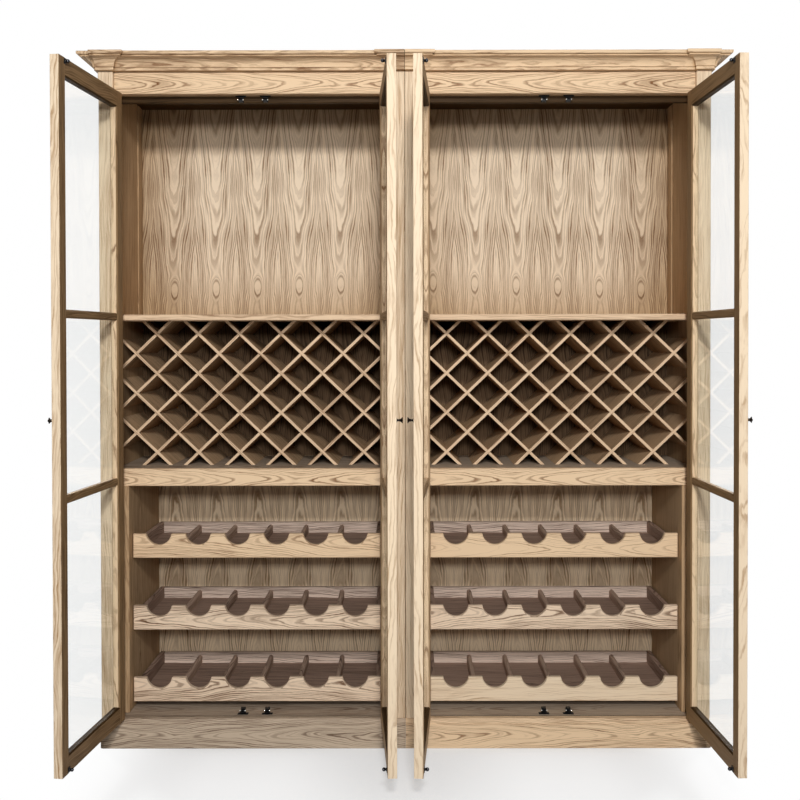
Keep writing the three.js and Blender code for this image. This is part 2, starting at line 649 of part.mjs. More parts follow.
function doorGlass() {
  const half = GLASS_THICKNESS / 2;
  return box(LEAF_START + STILE_WIDTH - GLASS_REBATE, LEAF_END - STILE_WIDTH + GLASS_REBATE,
    GLASS_MIDDLE - half, GLASS_MIDDLE + half,
    LEAF_BOTTOM + DOOR_RAIL_HEIGHT - GLASS_REBATE, LEAF_TOP - DOOR_RAIL_HEIGHT + GLASS_REBATE);
}

// A turned knob: a small rose, a waisted neck and a flared head
function knob() {
  const flare = KNOB_LENGTH - KNOB_ROSE_HEIGHT - KNOB_RIM;
  const waist = Array.from({ length: COVE_STEPS + 1 }, (_, i) => {
    const angle = (Math.PI / 2) * (i / COVE_STEPS);
    const radius = KNOB_NECK_RADIUS + (KNOB_HEAD_RADIUS - KNOB_NECK_RADIUS) * (1 - Math.cos(angle));
    return new THREE.Vector2(radius, KNOB_ROSE_HEIGHT + flare * Math.sin(angle));
  });
  const profile = [
    new THREE.Vector2(0, 0),
    new THREE.Vector2(KNOB_ROSE_RADIUS, 0),
    new THREE.Vector2(KNOB_ROSE_RADIUS, KNOB_ROSE_HEIGHT / 2),
    new THREE.Vector2(KNOB_NECK_RADIUS + KNOB_ROSE_HEIGHT, KNOB_ROSE_HEIGHT),
    ...waist,
    new THREE.Vector2(KNOB_HEAD_RADIUS, KNOB_LENGTH - KNOB_RIM / 2),
    new THREE.Vector2(KNOB_HEAD_RADIUS - KNOB_RIM, KNOB_LENGTH),
    new THREE.Vector2(0, KNOB_LENGTH),
  ];
  const geometry = new THREE.LatheGeometry(profile, KNOB_STEPS);
  geometry.rotateX(Math.PI);
  geometry.translate(KNOB_CENTRE, LEAF_FRONT - FIT_GAP, KNOB_LEVEL);
  return solidOf(geometry);
}

// Trays, drawn about the middle of the bay with the front board's face at y = 0 and its top at z = 0

function scallopedEdge() {
  const points = [];
  const lipAngle = Math.acos(SCALLOP_LIP / (SCALLOP_RADIUS + SCALLOP_LIP));
  for (let i = 0; i < SCALLOP_COUNT; i++) {
    const centre = (i - (SCALLOP_COUNT - 1) / 2) * SCALLOP_PITCH;
    const shoulder = (SCALLOP_RADIUS + SCALLOP_LIP) * Math.sin(lipAngle);
    points.push(
      ...arc(centre - shoulder, -SCALLOP_LIP, SCALLOP_LIP, Math.PI / 2, Math.PI / 2 - lipAngle, LIP_STEPS),
      ...arc(centre, 0, SCALLOP_RADIUS, -Math.PI / 2 - lipAngle, -Math.PI / 2 + lipAngle, SCALLOP_STEPS),
      ...arc(centre + shoulder, -SCALLOP_LIP, SCALLOP_LIP, Math.PI / 2 + lipAngle, Math.PI / 2, LIP_STEPS),
    );
  }
  return points;
}

function trayFront() {
  const outline = [
    [-TRAY_HALF_WIDTH, -TRAY_FRONT_HEIGHT],
    [-TRAY_HALF_WIDTH, 0],
    ...scallopedEdge(),
    [TRAY_HALF_WIDTH, 0],
    [TRAY_HALF_WIDTH, -TRAY_FRONT_HEIGHT],
  ];
  return extrudeBack(outline, 0, TRAY_FRONT_THICKNESS);
}

// Sides, back and bottom of a tray, with the round-topped dividers between its bottles
function trayBox() {
  const front = TRAY_FRONT_THICKNESS + FIT_GAP;
  const half = TRAY_HALF_WIDTH - TRAY_WALL_INSET;
  const top = -TRAY_WALL_DROP;
  const bottom = top - TRAY_WALL_HEIGHT;
  const walls = cut(
    box(-half, half, front, TRAY_LENGTH, bottom, top),
    box(-half + TRAY_WALL, half - TRAY_WALL, front - OVERRUN, TRAY_LENGTH - TRAY_WALL,
      bottom - OVERRUN, top + OVERRUN),
  );
  const floor = box(-half + TRAY_WALL - OVERRUN, half - TRAY_WALL + OVERRUN, front,
    TRAY_LENGTH - TRAY_WALL + OVERRUN, -TRAY_FLOOR_DROP - TRAY_FLOOR_THICKNESS, -TRAY_FLOOR_DROP);
  const radius = DIVIDER_WIDTH / 2;
  const dividers = Array.from({ length: SCALLOP_COUNT - 1 }, (_, i) => {
    const x = (i - (SCALLOP_COUNT - 2) / 2) * SCALLOP_PITCH;
    const outline = [
      [x + radius, -TRAY_FLOOR_DROP - FIT_GAP],
      ...arc(x, -DIVIDER_DROP - radius, radius, 0, Math.PI, DIVIDER_STEPS),
      [x - radius, -TRAY_FLOOR_DROP - FIT_GAP],
    ];
    return extrudeBack(outline.reverse(), front, TRAY_LENGTH - TRAY_WALL + FIT_GAP);
  });
  return join(walls, floor, ...dividers);
}

// One unit, drawn to the right of the seam

const shared = {
  frame: geometryOf(doorFrame()),
  glass: geometryOf(doorGlass()),
  knob: geometryOf(knob()),
  trayFront: geometryOf(trayFront()),
  trayBox: geometryOf(trayBox()),
  rack: rackGroups().map(geometryOf),
  runnerPanel: geometryOf(runnerPanel()),
};

// The outer copy of a piece drawn at the seam side
function turnedOver(mesh) {
  mesh.scale.x = -1;
  mesh.position.x = UNIT_WIDTH;
  return mesh;
}

function addDoor(unit, name, hingedOutside, angle) {
  const swing = new THREE.Group();
  swing.position.set(hingedOutside ? UNIT_WIDTH - PIN_INSET : PIN_INSET, -PIN_PROUD, 0);
  swing.rotation.z = THREE.MathUtils.degToRad(hingedOutside ? angle : -angle);
  const leaf = new THREE.Group();
  leaf.scale.x = hingedOutside ? -1 : 1;
  addMesh(leaf, `${name}_door_frame`, shared.frame, PALE_OAK);
  addMesh(leaf, `${name}_door_glass`, shared.glass, CLEAR_GLASS);
  addMesh(leaf, `${name}_door_knob`, shared.knob, DARK_METAL);
  swing.add(leaf);
  unit.add(swing);
}

function addUnit(root, name) {
  const unit = new THREE.Group();
  unit.scale.x = name === "left" ? -1 : 1;

  addMesh(unit, `${name}_inner_side`, side(true), PALE_OAK);
  turnedOver(addMesh(unit, `${name}_outer_side`, side(false), PALE_OAK));
  addMesh(unit, `${name}_base`, base(), PALE_OAK);
  addMesh(unit, `${name}_cornice`, cornice(), PALE_OAK);
  addMesh(unit, `${name}_header`, header(), PALE_OAK);
  addMesh(unit, `${name}_top_board`, panelBetweenSides(INNER_FRONT + STOP_RAIL_THICKNESS + FIT_GAP,
    BACK_PLANE - FIT_GAP, CORNICE_BOTTOM - TOP_THICKNESS - FIT_GAP, CORNICE_BOTTOM - FIT_GAP), DEEP_OAK);
  addMesh(unit, `${name}_back_panel`, panelBetweenSides(BACK_PLANE, BACK_PLANE + BACK_THICKNESS,
    PLINTH_HEIGHT + FIT_GAP, CORNICE_BOTTOM - FIT_GAP), DEEP_OAK);
  addMesh(unit, `${name}_display_shelf`, panelBetweenSides(INNER_FRONT, BACK_PLANE - FIT_GAP,
    SHELF_UNDERSIDE, SHELF_UNDERSIDE + SHELF_THICKNESS), RACK_OAK);
  addMesh(unit, `${name}_rack_floor`, rackFloor(), PALE_OAK);
  shared.rack.forEach((geometry, i) => addMesh(unit, `${name}_rack_boards_${i + 1}`, geometry, RACK_OAK));

  addMesh(unit, `${name}_inner_runner_panel`, shared.runnerPanel, DEEP_OAK);
  turnedOver(addMesh(unit, `${name}_outer_runner_panel`, shared.runnerPanel, DEEP_OAK));
  trayTops().forEach((top, i) => {
    const tray = new THREE.Group();
    tray.position.set(BAY_CENTRE, TRAY_FRONT_PLANE, top);
    addMesh(tray, `${name}_tray_${i + 1}_front`, shared.trayFront, PALE_OAK);
    addMesh(tray, `${name}_tray_${i + 1}_box`, shared.trayBox, GREY_OAK);
    unit.add(tray);
  });

  addDoor(unit, `${name}_inner`, false, INNER_DOOR_ANGLE);
  addDoor(unit, `${name}_outer`, true, name === "left" ? LEFT_OUTER_DOOR_ANGLE : RIGHT_OUTER_DOOR_ANGLE);
  root.add(unit);
}

const cabinet = new THREE.Group();
addUnit(cabinet, "left");
addUnit(cabinet, "right");

// The origin lies on the floor under the middle of the cabinet as it stands with its doors open
const bounds = new THREE.Box3().setFromObject(cabinet, true);
cabinet.position.y = -(bounds.min.y + bounds.max.y) / 2;

export default cabinet;
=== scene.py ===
"""An oak wine cabinet: two mirrored units with glazed doors, bottle racks and pull-out trays.

Lengths are metres. Each unit is drawn to the right of the seam, from the plane of its closed doors
backwards and from the floor up, and a matrix places it or its mirror image over the solids.
"""

import json
import math
import random
from functools import partial

import bpy
from mathutils import Matrix, Vector


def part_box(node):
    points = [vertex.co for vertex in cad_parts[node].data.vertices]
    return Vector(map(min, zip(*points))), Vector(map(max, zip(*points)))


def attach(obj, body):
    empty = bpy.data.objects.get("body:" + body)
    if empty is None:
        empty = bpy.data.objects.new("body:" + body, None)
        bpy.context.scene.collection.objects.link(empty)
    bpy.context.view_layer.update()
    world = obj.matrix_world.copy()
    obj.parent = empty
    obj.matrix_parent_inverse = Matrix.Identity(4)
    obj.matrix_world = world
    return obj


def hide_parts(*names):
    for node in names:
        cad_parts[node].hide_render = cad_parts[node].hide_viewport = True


bl_info = {
    "name": "Oak wine cabinet",
    "version": (1, 0, 0),
    "blender": (4, 5, 0),
    "location": "3D View > Sidebar > Wine cabinet",
    "description": "Builds a glazed oak wine cabinet with bottle racks and pull-out trays",
    "category": "Add Mesh",
}

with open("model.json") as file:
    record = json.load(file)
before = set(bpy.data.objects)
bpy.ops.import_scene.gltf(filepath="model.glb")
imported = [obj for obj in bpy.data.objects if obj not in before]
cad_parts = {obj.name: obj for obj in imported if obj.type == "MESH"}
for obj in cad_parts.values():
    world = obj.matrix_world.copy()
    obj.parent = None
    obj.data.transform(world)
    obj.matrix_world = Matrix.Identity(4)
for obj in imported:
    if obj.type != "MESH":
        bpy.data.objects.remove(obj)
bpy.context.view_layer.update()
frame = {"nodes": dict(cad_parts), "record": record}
JOINTS = {joint["name"]: joint for joint in frame["record"]["behaviour"]["joints"]}


# Properties


def length(name, description, millimetres):
    return bpy.props.FloatProperty(
        name=name, description=description, default=millimetres / 1000, unit="LENGTH", precision=5
    )


def linear(hex_colour):
    """An sRGB hex colour as linear red, green and blue."""
    channels = (int(hex_colour[i : i + 2], 16) / 255 for i in (1, 3, 5))
    return tuple(c / 12.92 if c <= 0.04045 else ((c + 0.055) / 1.055) ** 2.4 for c in channels)


def colour(name, description, hex_colour):
    return bpy.props.FloatVectorProperty(
        name=name, description=description, default=linear(hex_colour),
        size=3, subtype="COLOR", min=0, max=1,
    )


class CabinetCaseSizes(bpy.types.PropertyGroup):
    unit_width: length("Unit width", "Width of one unit over its pilasters", 940)
    depth: length("Depth", "Face of the doors to the back of the case", 444)
    height: length("Height", "Floor to the top of the cornice", 2128)
    plinth_height: length("Plinth height", "Floor to the top of the floor board", 88)
    plinth_reach: length("Plinth reach", "How far the plinth stands in front of the doors", 12)
    plinth_bevel: length("Plinth bevel", "Height of the sloping top of the plinth", 12)
    plinth_corner: length("Plinth corner", "Radius of the plinth's outer corner", 10)
    floor_thickness: length("Floor board", "Thickness of the floor board", 22)
    pilaster_width: length("Pilaster width", "Width of a pilaster", 46)
    pilaster_thickness: length("Pilaster thickness", "Front to back through a pilaster", 32)
    side_thickness: length("Side thickness", "Thickness of a side board", 22)
    board_thickness: length("Board thickness", "Thickness of shelves, packing and stop rail", 18)
    back_plane: length("Back plane", "Face of the doors to the face of the back panel", 430)
    back_thickness: length("Back thickness", "Thickness of the back panel", 10)
    inner_front: length("Inner front", "Face of the doors to the front of the shelves", 48)
    frieze_recess: length("Frieze recess", "How far the frieze lies behind the doors' face", 10)
    frieze_height: length("Frieze height", "Height of the frieze board", 67)
    frieze_thickness: length("Frieze thickness", "Thickness of the frieze board", 22)
    stop_drop: length("Stop rail drop", "How far the stop rail hangs below the frieze", 19)
    stop_height: length("Stop rail height", "Height of the stop rail", 67)
    rail_height: length("Rack rail height", "Height of the rail below the rack", 54)
    rail_thickness: length("Rack rail thickness", "Thickness of the rail below the rack", 22)
    rail_lip: length("Rack rail lip", "How far that rail stands above the rack floor", 4)
    batten_width: length("Batten width", "Width of a batten in the display compartment", 37)
    batten_thickness: length("Batten thickness", "How far a batten stands off the side", 5)
    batten_back: length("Batten gap", "Gap between a batten and the back panel", 31)
    liner_inset: length("Lining inset", "How far the runner panels stand inside the pilasters", 30)
    liner_back_gap: length("Lining gap", "Gap between a runner panel and the back panel", 5)
    spacer_depth: length("Spacer depth", "Front to back through a runner panel's spacer", 40)
    ease: length("Eased edges", "Width of the rubbed-down edge of a board", 1.6)
    gap: length("Joint gap", "Gap between boards that touch", 0.3)
    seam: length("Seam", "Visible gap between the two units' pilasters", 1.4)


class CabinetCorniceSizes(bpy.types.PropertyGroup):
    height: length("Height", "Height of the cornice", 49)
    reach: length("Reach", "How far the cornice stands out", 50)
    band_height: length("Band height", "Height of the flat lower band", 9)
    band_reach: length("Band reach", "Reach of the lower band", 8)
    bead_height: length("Bead height", "Height of the bead over the band", 3)
    bead_reach: length("Bead reach", "Reach of that bead", 11)
    cove_height: length("Cove height", "Height of the hollow", 22)
    cove_reach: length("Cove reach", "Reach of the top of the hollow", 38)
    fillet_height: length("Fillet height", "Height of the fillet over the hollow", 5)
    fillet_reach: length("Fillet reach", "Reach of the fillet", 42)
    block_lead: length("Block lead", "How far the blocks stand in front of the run", 10)
    block_flare: length("Block flare", "Spread of the end block at its top", 11)
    block_return_share: bpy.props.FloatProperty(
        name="Block return", description="Spread of a block's inner end as a share of the reach", default=0.9
    )


class CabinetDoorSizes(bpy.types.PropertyGroup):
    gap: length("Gap", "Gap at the jamb", 1.5)
    meeting_gap: length("Meeting gap", "Gap between two closed doors", 2)
    height_gap: length("Height gap", "Gap above and below a leaf", 3)
    thickness: length("Thickness", "Thickness of a leaf", 25)
    stile: length("Stile width", "Width of a stile", 40)
    rail: length("Rail height", "Height of the top and bottom rails", 50)
    muntin: length("Muntin height", "Height of a glazing bar", 23)
    muntin_thickness: length("Muntin thickness", "Front to back through a glazing bar", 21)
    bevel: length("Glazing bevel", "Width of the bevel round each light", 4)
    pin_proud: length("Pin proud", "How far the hinge pins stand in front of the leaves", 5)
    knuckle_radius: length("Knuckle radius", "Radius of a hinge knuckle", 4)
    knuckle_height: length("Knuckle height", "Height of a hinge knuckle", 25)
    cap_radius: length("Finial radius", "Radius of the pin's end cap", 3)
    cap_height: length("Finial height", "Height of the pin's end cap", 4)
    leaf_depth: length("Hinge leaf depth", "Width of a hinge leaf", 24)
    hinge_end: length("Hinge distance", "End of a leaf to the middle of its end hinge", 190)
    knob_level: length("Knob level", "Floor to the middle of a knob", 1041)
    knob_length: length("Knob length", "How far a knob stands out", 17.5)
    knob_radius: length("Knob radius", "Radius of a knob's head", 8.4)
    knob_neck: length("Knob neck", "Radius of a knob's neck", 3.2)
    knob_rose: length("Knob rose", "Radius of the rose below a knob", 7)
    catch_offset: length("Catch offset", "Middle of the bay to each catch", 38)
    ball_radius: length("Ball radius", "Radius of a catch's ball", 5.2)
    ball_stand: length("Ball stand", "How far the ball stands off the leaf", 8.5)
    ball_edge: length("Ball distance", "End of the leaf to the middle of the ball", 9.5)


class CabinetRackSizes(bpy.types.PropertyGroup):
    depth: length("Depth", "Front to back through the bottle rack", 250)
    back_gap: length("Back gap", "Gap between the rack and the back panel", 5)
    board: length("Board", "Thickness of a rack board", 9)
    half_width: length("Half cell width", "Half the width of a cell between crossings", 67.1)
    half_height: length("Half cell height", "Half the height of a cell between crossings", 64.1)
    corner: length("Corner", "Shortest corner that still gets a board", 60)
    slot_gap: length("Slot gap", "Clearance each side in a halved joint", 0.4)


class CabinetTraySizes(bpy.types.PropertyGroup):
    front_plane: length("Front plane", "Face of the doors to the face of a tray", 82)
    first_top: length("First top", "Floor to the top of the lowest tray's front", 187)
    pitch: length("Pitch", "Height from tray to tray", 228)
    side_gap: length("Side gap", "Gap between a front and the runner panel", 3)
    front_height: length("Front height", "Height of a tray's front board", 76)
    front_thickness: length("Front thickness", "Thickness of the front board", 18)
    front_ease: length("Front ease", "Width of the rounded rim of a front", 2.4)
    rear_gap: length("Rear gap", "Gap between a tray and the back panel", 6)
    wall: length("Wall", "Thickness of a tray's sides and back", 16)
    wall_drop: length("Wall drop", "How far the sides lie below the front's top", 22)
    wall_height: length("Wall height", "Height of a tray's sides", 46)
    wall_inset: length("Wall inset", "How far the sides lie in from the front's ends", 2)
    floor_drop: length("Floor drop", "Top of the front to the tray's floor", 59)
    floor_thickness: length("Floor thickness", "Thickness of the tray's floor", 6)
    scallop_end: length("Scallop end", "End of the front to the middle of the first scallop", 80.5)
    scallop_radius: length("Scallop radius", "Radius of a scallop", 40)
    scallop_rise: length("Scallop rise", "Top of the front to the middle of a scallop", 5)
    lip: length("Scallop lip", "Radius of a scallop's rounded shoulder", 3)
    divider_width: length("Divider width", "Width of a divider between bottles", 16)
    divider_drop: length("Divider drop", "Top of the front to the top of a divider", 31)
    scallops: bpy.props.IntProperty(name="Scallops", description="Bottles in one tray", default=6, min=2)
    count: bpy.props.IntProperty(name="Trays", description="Trays in one unit", default=3, min=1)


class CabinetColours(bpy.types.PropertyGroup):
    oak: colour("Limed oak", "Latewood of the limed oak", "#ebcda8")
    oak_line: colour("Oak grain", "Open grain of the limed oak", "#80593a")
    # partly painted light: pale enough to lift the pilasters out of the shade between the leaves
    planed: colour("Planed oak", "Latewood of the pilasters and the doors' planed edges", "#efd9bb")
    planed_line: colour("Planed grain", "Open grain of the pilasters and those edges", "#a68058")
    tray: colour("Tray oak", "Latewood of the trays' fronts", "#efd6ba")
    tray_line: colour("Tray grain", "Open grain of the trays' fronts", "#6f5039")
    veneer: colour("Veneer", "Latewood of the veneered back", "#f6e1c5")
    veneer_line: colour("Veneer grain", "Open grain of the veneered back", "#8c6d50")
    # painted light: paler and warmer, for the back behind the trays
    low_veneer: colour("Low veneer", "Latewood of the back behind the trays", "#ffe9c8")
    low_line: colour("Low veneer grain", "Open grain of the back behind the trays", "#94704a")
    lining: colour("Lining oak", "Latewood of the linings", "#bb9c78")
    lining_line: colour("Lining grain", "Open grain of the linings", "#77593b")
    # painted shade: the doors' backs, darker than their fronts
    oiled: colour("Oiled oak", "Latewood of the doors' backs", "#917452")
    oiled_line: colour("Oiled grain", "Open grain of the doors' backs", "#4f3822")
    edge: colour("Rack edge", "Front edges of the rack boards", "#e6c8a6")
    # painted shade: the rack boards' faces, darker than their edges
    rack: colour("Rack oak", "Latewood of the rack boards' faces", "#c6a682")
    rack_line: colour("Rack grain", "Open grain of the rack boards' faces", "#5d4632")
    # painted shade: a darker copy of the veneer, for the back behind the rack
    shaded: colour("Shaded oak", "Latewood of the wood behind the rack", "#7c6248")
    shaded_line: colour("Shaded grain", "Open grain of that shaded wood", "#3f2f21")
    # painted shade: near black, standing for the shade under the frieze, in the seam and at the rails' edges
    smoked: colour("Smoked oak", "Latewood of the stop rail, the top and the rails' edges", "#3e2a10")
    smoked_line: colour("Smoked grain", "Open grain of the stop rail, the top and those edges", "#24170a")
    stained: colour("Stained oak", "Latewood of the trays' backs", "#dcc6b5")
    stained_line: colour("Stained grain", "Open grain of the trays' backs", "#5f4b41")
    # painted light: lighter than the trays' sides, for the light on the dividers' tops
    divider: colour("Dividers", "Latewood of the trays' round-topped dividers", "#b39885")
    umber: colour("Umber oak", "Latewood of the trays' sides and floors", "#a38877")
    umber_line: colour("Umber grain", "Open grain of the trays' sides, floors and dividers", "#4e3c32")
    plinth: colour("Plinth", "Latewood of the left plinth", "#c8b49d")
    floor: colour("Floor board", "Latewood of the floor board", "#ad9c89")
    floor_line: colour("Floor grain", "Open grain of the floor board", "#75604f")
    bronze: colour("Dark bronze", "Knobs and hinges", "#2c2622")
    nickel: colour("Nickel", "Tray runners and the balls of the spring clips", "#e0e0dc")
    black_nickel: colour("Black nickel", "Balls of the doors' strikes", "#3a3a3e")
    clip: colour("Black steel", "Painted spring clips and strike plates", "#0c0c0e")
    backdrop: colour("Studio floor", "Studio floor below the cabinet", "#b9babb")


def settings(name):
    return getattr(bpy.context.scene, "cabinet_" + name)


# Finishes


def add_node(tree, kind, inputs, **values):
    """A node with its settings, such as a Math ADD. An input is set to a value, or linked to a socket or
    a node's first output."""
    kind, _, operation = kind.partition(" ")
    node = tree.nodes.new("ShaderNode" + kind)
    if operation:
        node.operation = operation
    for key, value in values.items():
        setattr(node, key, value)
    for key, value in inputs.items():
        if isinstance(value, bpy.types.Node):
            value = value.outputs[0]
        if isinstance(value, bpy.types.NodeSocket):
            tree.links.new(value, node.inputs[key])
        else:
            node.inputs[key].default_value = value
    return node


def blank(name):
    """An empty material and the call that adds a node to it."""
    material = bpy.data.materials.new(name)
    material.use_nodes = True
    material.node_tree.nodes.clear()
    return material, partial(add_node, material.node_tree)


# How often the oak's patterns repeat in a metre along the grain, across it and through the board.
WANDER = (5, 10, 10)  # the pith wanders over 200 mm
KNOT = (28, 42, 0)  # a knot's rings reach 36 mm along and 24 mm across from its heart
WAVER = (28, 120, 120)  # a ring's edge wavers every 36 mm, and every 8 mm across
FIBRE = (8, 260, 50)  # fibres, drawn 4 mm wide so that they show; real ones are far finer
PATCH = (2.5, 16, 16)  # oil took unevenly, in patches 400 mm long and 60 mm wide
# How far they move the rings or the surface, in metres.
LEAF_CREEP = 0.005  # the knife moves into the log from leaf to leaf, so the arches creep along
WANDER_ACROSS = 0.03
TIP_LENGTH = 0.05  # the cones that the rings make have rounded tips
KNOT_BULGE = 0.016
WAVER_REACH = 0.0038
PORE_DEPTH = 0.0004


def sawn_oak(name, wood, line, strength, spacing, taper, bend, leaf=None, corners=0.0, reach=0.16):
    """Oak, sawn, sanded and finished matt with oil. Its growth rings are cones round the pith, so a board cut
    along them shows arches in its middle and straight lines at its edges. The open early wood is the darker
    part of each ring. A veneered panel repeats one leaf side by side. Given corners, painted shade darkens
    its inner corners."""
    material, add = blank(name)
    grain = add("Attribute", {}, attribute_name="grain").outputs["Vector"]
    tone = add("Attribute", {}, attribute_name="tone").outputs["Fac"]
    along, across, through = add("SeparateXYZ", {0: grain}).outputs
    if leaf:
        number = add("Math DIVIDE", {0: across, 1: leaf})
        number = add("Math ADD", {0: number, 1: 0.5})
        number = add("Math FLOOR", {0: number})
        along = add("Math MULTIPLY_ADD", {0: number, 1: LEAF_CREEP, 2: along})
        across = add("Math WRAP", {0: across, 1: leaf / 2, 2: -leaf / 2})
        tone = add("TexWhiteNoise", {"W": number}, noise_dimensions="1D")
    place = add("CombineXYZ", {0: along, 1: across, 2: through})
    slow = add("VectorMath MULTIPLY", {0: place, 1: WANDER})
    wander = add("TexNoise", {"Vector": slow, "Scale": 1, "Detail": 2}).outputs["Color"]
    wander = add("VectorMath SUBTRACT", {0: wander, 1: (0.5, 0.5, 0.5)})
    wander = add("VectorMath MULTIPLY", {0: wander, 1: (0, WANDER_ACROSS, bend)})
    section = add("CombineXYZ", {0: 0, 1: across, 2: through})
    section = add("VectorMath ADD", {0: section, 1: wander})
    distance = add("VectorMath LENGTH", {0: section}).outputs["Value"]
    # the log tapers, so a board's middle shows the rings' tips as arches
    spindle = add("CombineXYZ", {0: along, 1: TIP_LENGTH, 2: 0})
    spindle = add("VectorMath LENGTH", {0: spindle}).outputs["Value"]
    radius = add("Math MULTIPLY_ADD", {0: spindle, 1: -taper, 2: distance})
    if leaf:
        # a knot bulges the rings where the leaves' arches meet
        knot = add("VectorMath MULTIPLY", {0: place, 1: KNOT})
        knot = add("VectorMath LENGTH", {0: knot}).outputs["Value"]
        core = add("MapRange", {0: knot, 1: 0.3, 2: 0.75, 3: 0.1, 4: 1})
        knot = add("MapRange", {0: knot, 1: 0, 2: 1.6, 3: -KNOT_BULGE, 4: 0}, interpolation_type="SMOOTHSTEP")
        radius = add("Math", {0: radius, 1: knot})
    quick = add("VectorMath MULTIPLY", {0: place, 1: WAVER})
    waver = add("TexNoise", {"Vector": quick, "Scale": 1, "Detail": 3})
    radius = add("Math MULTIPLY_ADD", {0: waver, 1: WAVER_REACH, 2: radius})
    ring = add("Math DIVIDE", {0: radius, 1: spacing})
    year = add("Math FLOOR", {0: ring})
    year = add("TexWhiteNoise", {"W": year}, noise_dimensions="1D")
    year = add("MapRange", {0: year, 3: 0.35, 4: 1})
    season = add("Math FRACT", {0: ring})
    # how dark the wood is through one year's ring; a veneer's early wood is broader
    season = add("ValToRGB", {0: season})
    stops = season.color_ramp.elements
    for stop, value in zip(stops, (0.35, 0.3)):
        stop.color = (value, value, value, 1)
    broad = ((0.12, 1.0), (0.45, 0.7), (0.68, 0.15), (0.88, 0.0))
    narrow = ((0.1, 1.0), (0.28, 0.8), (0.42, 0.1), (0.9, 0.0))
    for position, value in broad if leaf else narrow:
        stops.new(position).color = (value, value, value, 1)
    early = add("Math MULTIPLY", {0: season, 1: year})
    # fibres run with the rings
    strand = add("CombineXYZ", {0: along, 1: radius, 2: through})
    fine = add("VectorMath MULTIPLY", {0: strand, 1: FIBRE})
    fibre = add("TexNoise", {"Vector": fine, "Scale": 1, "Detail": 4})
    fibre = add("MapRange", {0: fibre, 1: 0.3, 2: 0.7, 3: -0.5, 4: 0.5})
    patch = add("VectorMath MULTIPLY", {0: place, 1: PATCH})
    patch = add("TexNoise", {"Vector": patch, "Scale": 1, "Detail": 1})
    patch = add("MapRange", {0: patch, 1: 0.3, 2: 0.7, 3: -0.5, 4: 0.5})
    depth = add("Math MULTIPLY", {0: early, 1: strength})
    depth = add("Math MULTIPLY_ADD", {0: fibre, 1: 0.8, 2: depth})
    depth = add("Math MULTIPLY_ADD", {0: patch, 1: 0.25, 2: depth})
    depth = add("Math MULTIPLY_ADD", {0: tone, 1: 0.14, 2: depth}, use_clamp=True)
    if leaf:
        # the knot's heart is pale
        depth = add("Math MULTIPLY", {0: depth, 1: core})
    tint = add("Mix", {0: depth, 6: (*wood, 1), 7: (*line, 1)}, data_type="RGBA").outputs[2]
    if corners:
        # painted shade: the inner corners darken to a warm brown, standing for the shade there
        clean = add("AmbientOcclusion", {"Distance": reach}, samples=8).outputs["AO"]
        clean = add("MapRange", {0: clean, 1: 0.4, 2: 0.95})
        amber = (1 - corners, 1 - 1.2 * corners, 1 - 1.45 * corners, 1)
        clean = add("Mix", {0: clean, 6: amber, 7: (1, 1, 1, 1)}, data_type="RGBA").outputs[2]
        tint = add("VectorMath MULTIPLY", {0: tint, 1: clean})
    rough = add("MapRange", {0: depth, 3: 0.55, 4: 0.75})
    relief = add("Bump", {"Height": depth, "Strength": 0.35, "Distance": PORE_DEPTH}, invert=True)
    inputs = {"Base Color": tint, "Roughness": rough, "Normal": relief, "Specular IOR Level": 0.12}
    add("OutputMaterial", {0: add("BsdfPrincipled", inputs)})
    return material


def cast_metal(name, tint, roughness, metallic, grain):
    """Metal with a faint unevenness that breaks up its highlight."""
    material, add = blank(name)
    where = add("TexCoord", {}).outputs["Object"]
    speck = add("TexNoise", {"Vector": where, "Scale": 1 / grain, "Detail": 3})
    rough = add("MapRange", {0: speck, 1: 0.3, 2: 0.7, 3: roughness * 0.8, 4: roughness * 1.25})
    shade = add("MapRange", {0: speck, 1: 0.3, 2: 0.7, 3: 0.92, 4: 1.08})
    tint = add("VectorMath SCALE", {0: tint, "Scale": shade})
    gloss = 0.5 if metallic else 0.2
    inputs = {"Base Color": tint, "Roughness": rough, "Metallic": metallic, "Specular IOR Level": gloss}
    add("OutputMaterial", {0: add("BsdfPrincipled", inputs)})
    return material


def float_glass():
    """Float glass, 4 mm, drawn flat and fire-polished: clear, with a faint green and soft reflections.
    Glass has an IOR of 1.5; it is lower here because the photographed panes mirror little. Lamps shine
    through it, so the case behind is lit."""
    material, add = blank("float_glass")
    where = add("TexCoord", {}).outputs["Object"]
    # the faint draw of the sheet bends a reflection over a hand's breadth
    draw = add("TexNoise", {"Vector": where, "Scale": 6, "Detail": 0})
    relief = add("Bump", {"Height": draw, "Strength": 0.02, "Distance": 0.001})
    inputs = {
        "Base Color": (0.985, 0.995, 0.99, 1), "Roughness": 0, "IOR": 1.25, "Specular IOR Level": 0.35,
        "Transmission Weight": 1, "Normal": relief,
    }
    glass = add("BsdfPrincipled", inputs)
    clear = add("BsdfTransparent", {0: (0.95, 0.97, 0.965, 1)})
    rays = add("LightPath", {}).outputs
    passes = add("Math MAXIMUM", {0: rays["Is Shadow Ray"], 1: rays["Is Diffuse Ray"]})
    add("OutputMaterial", {0: add("MixShader", {0: passes, 1: glass, 2: clear})})
    return material
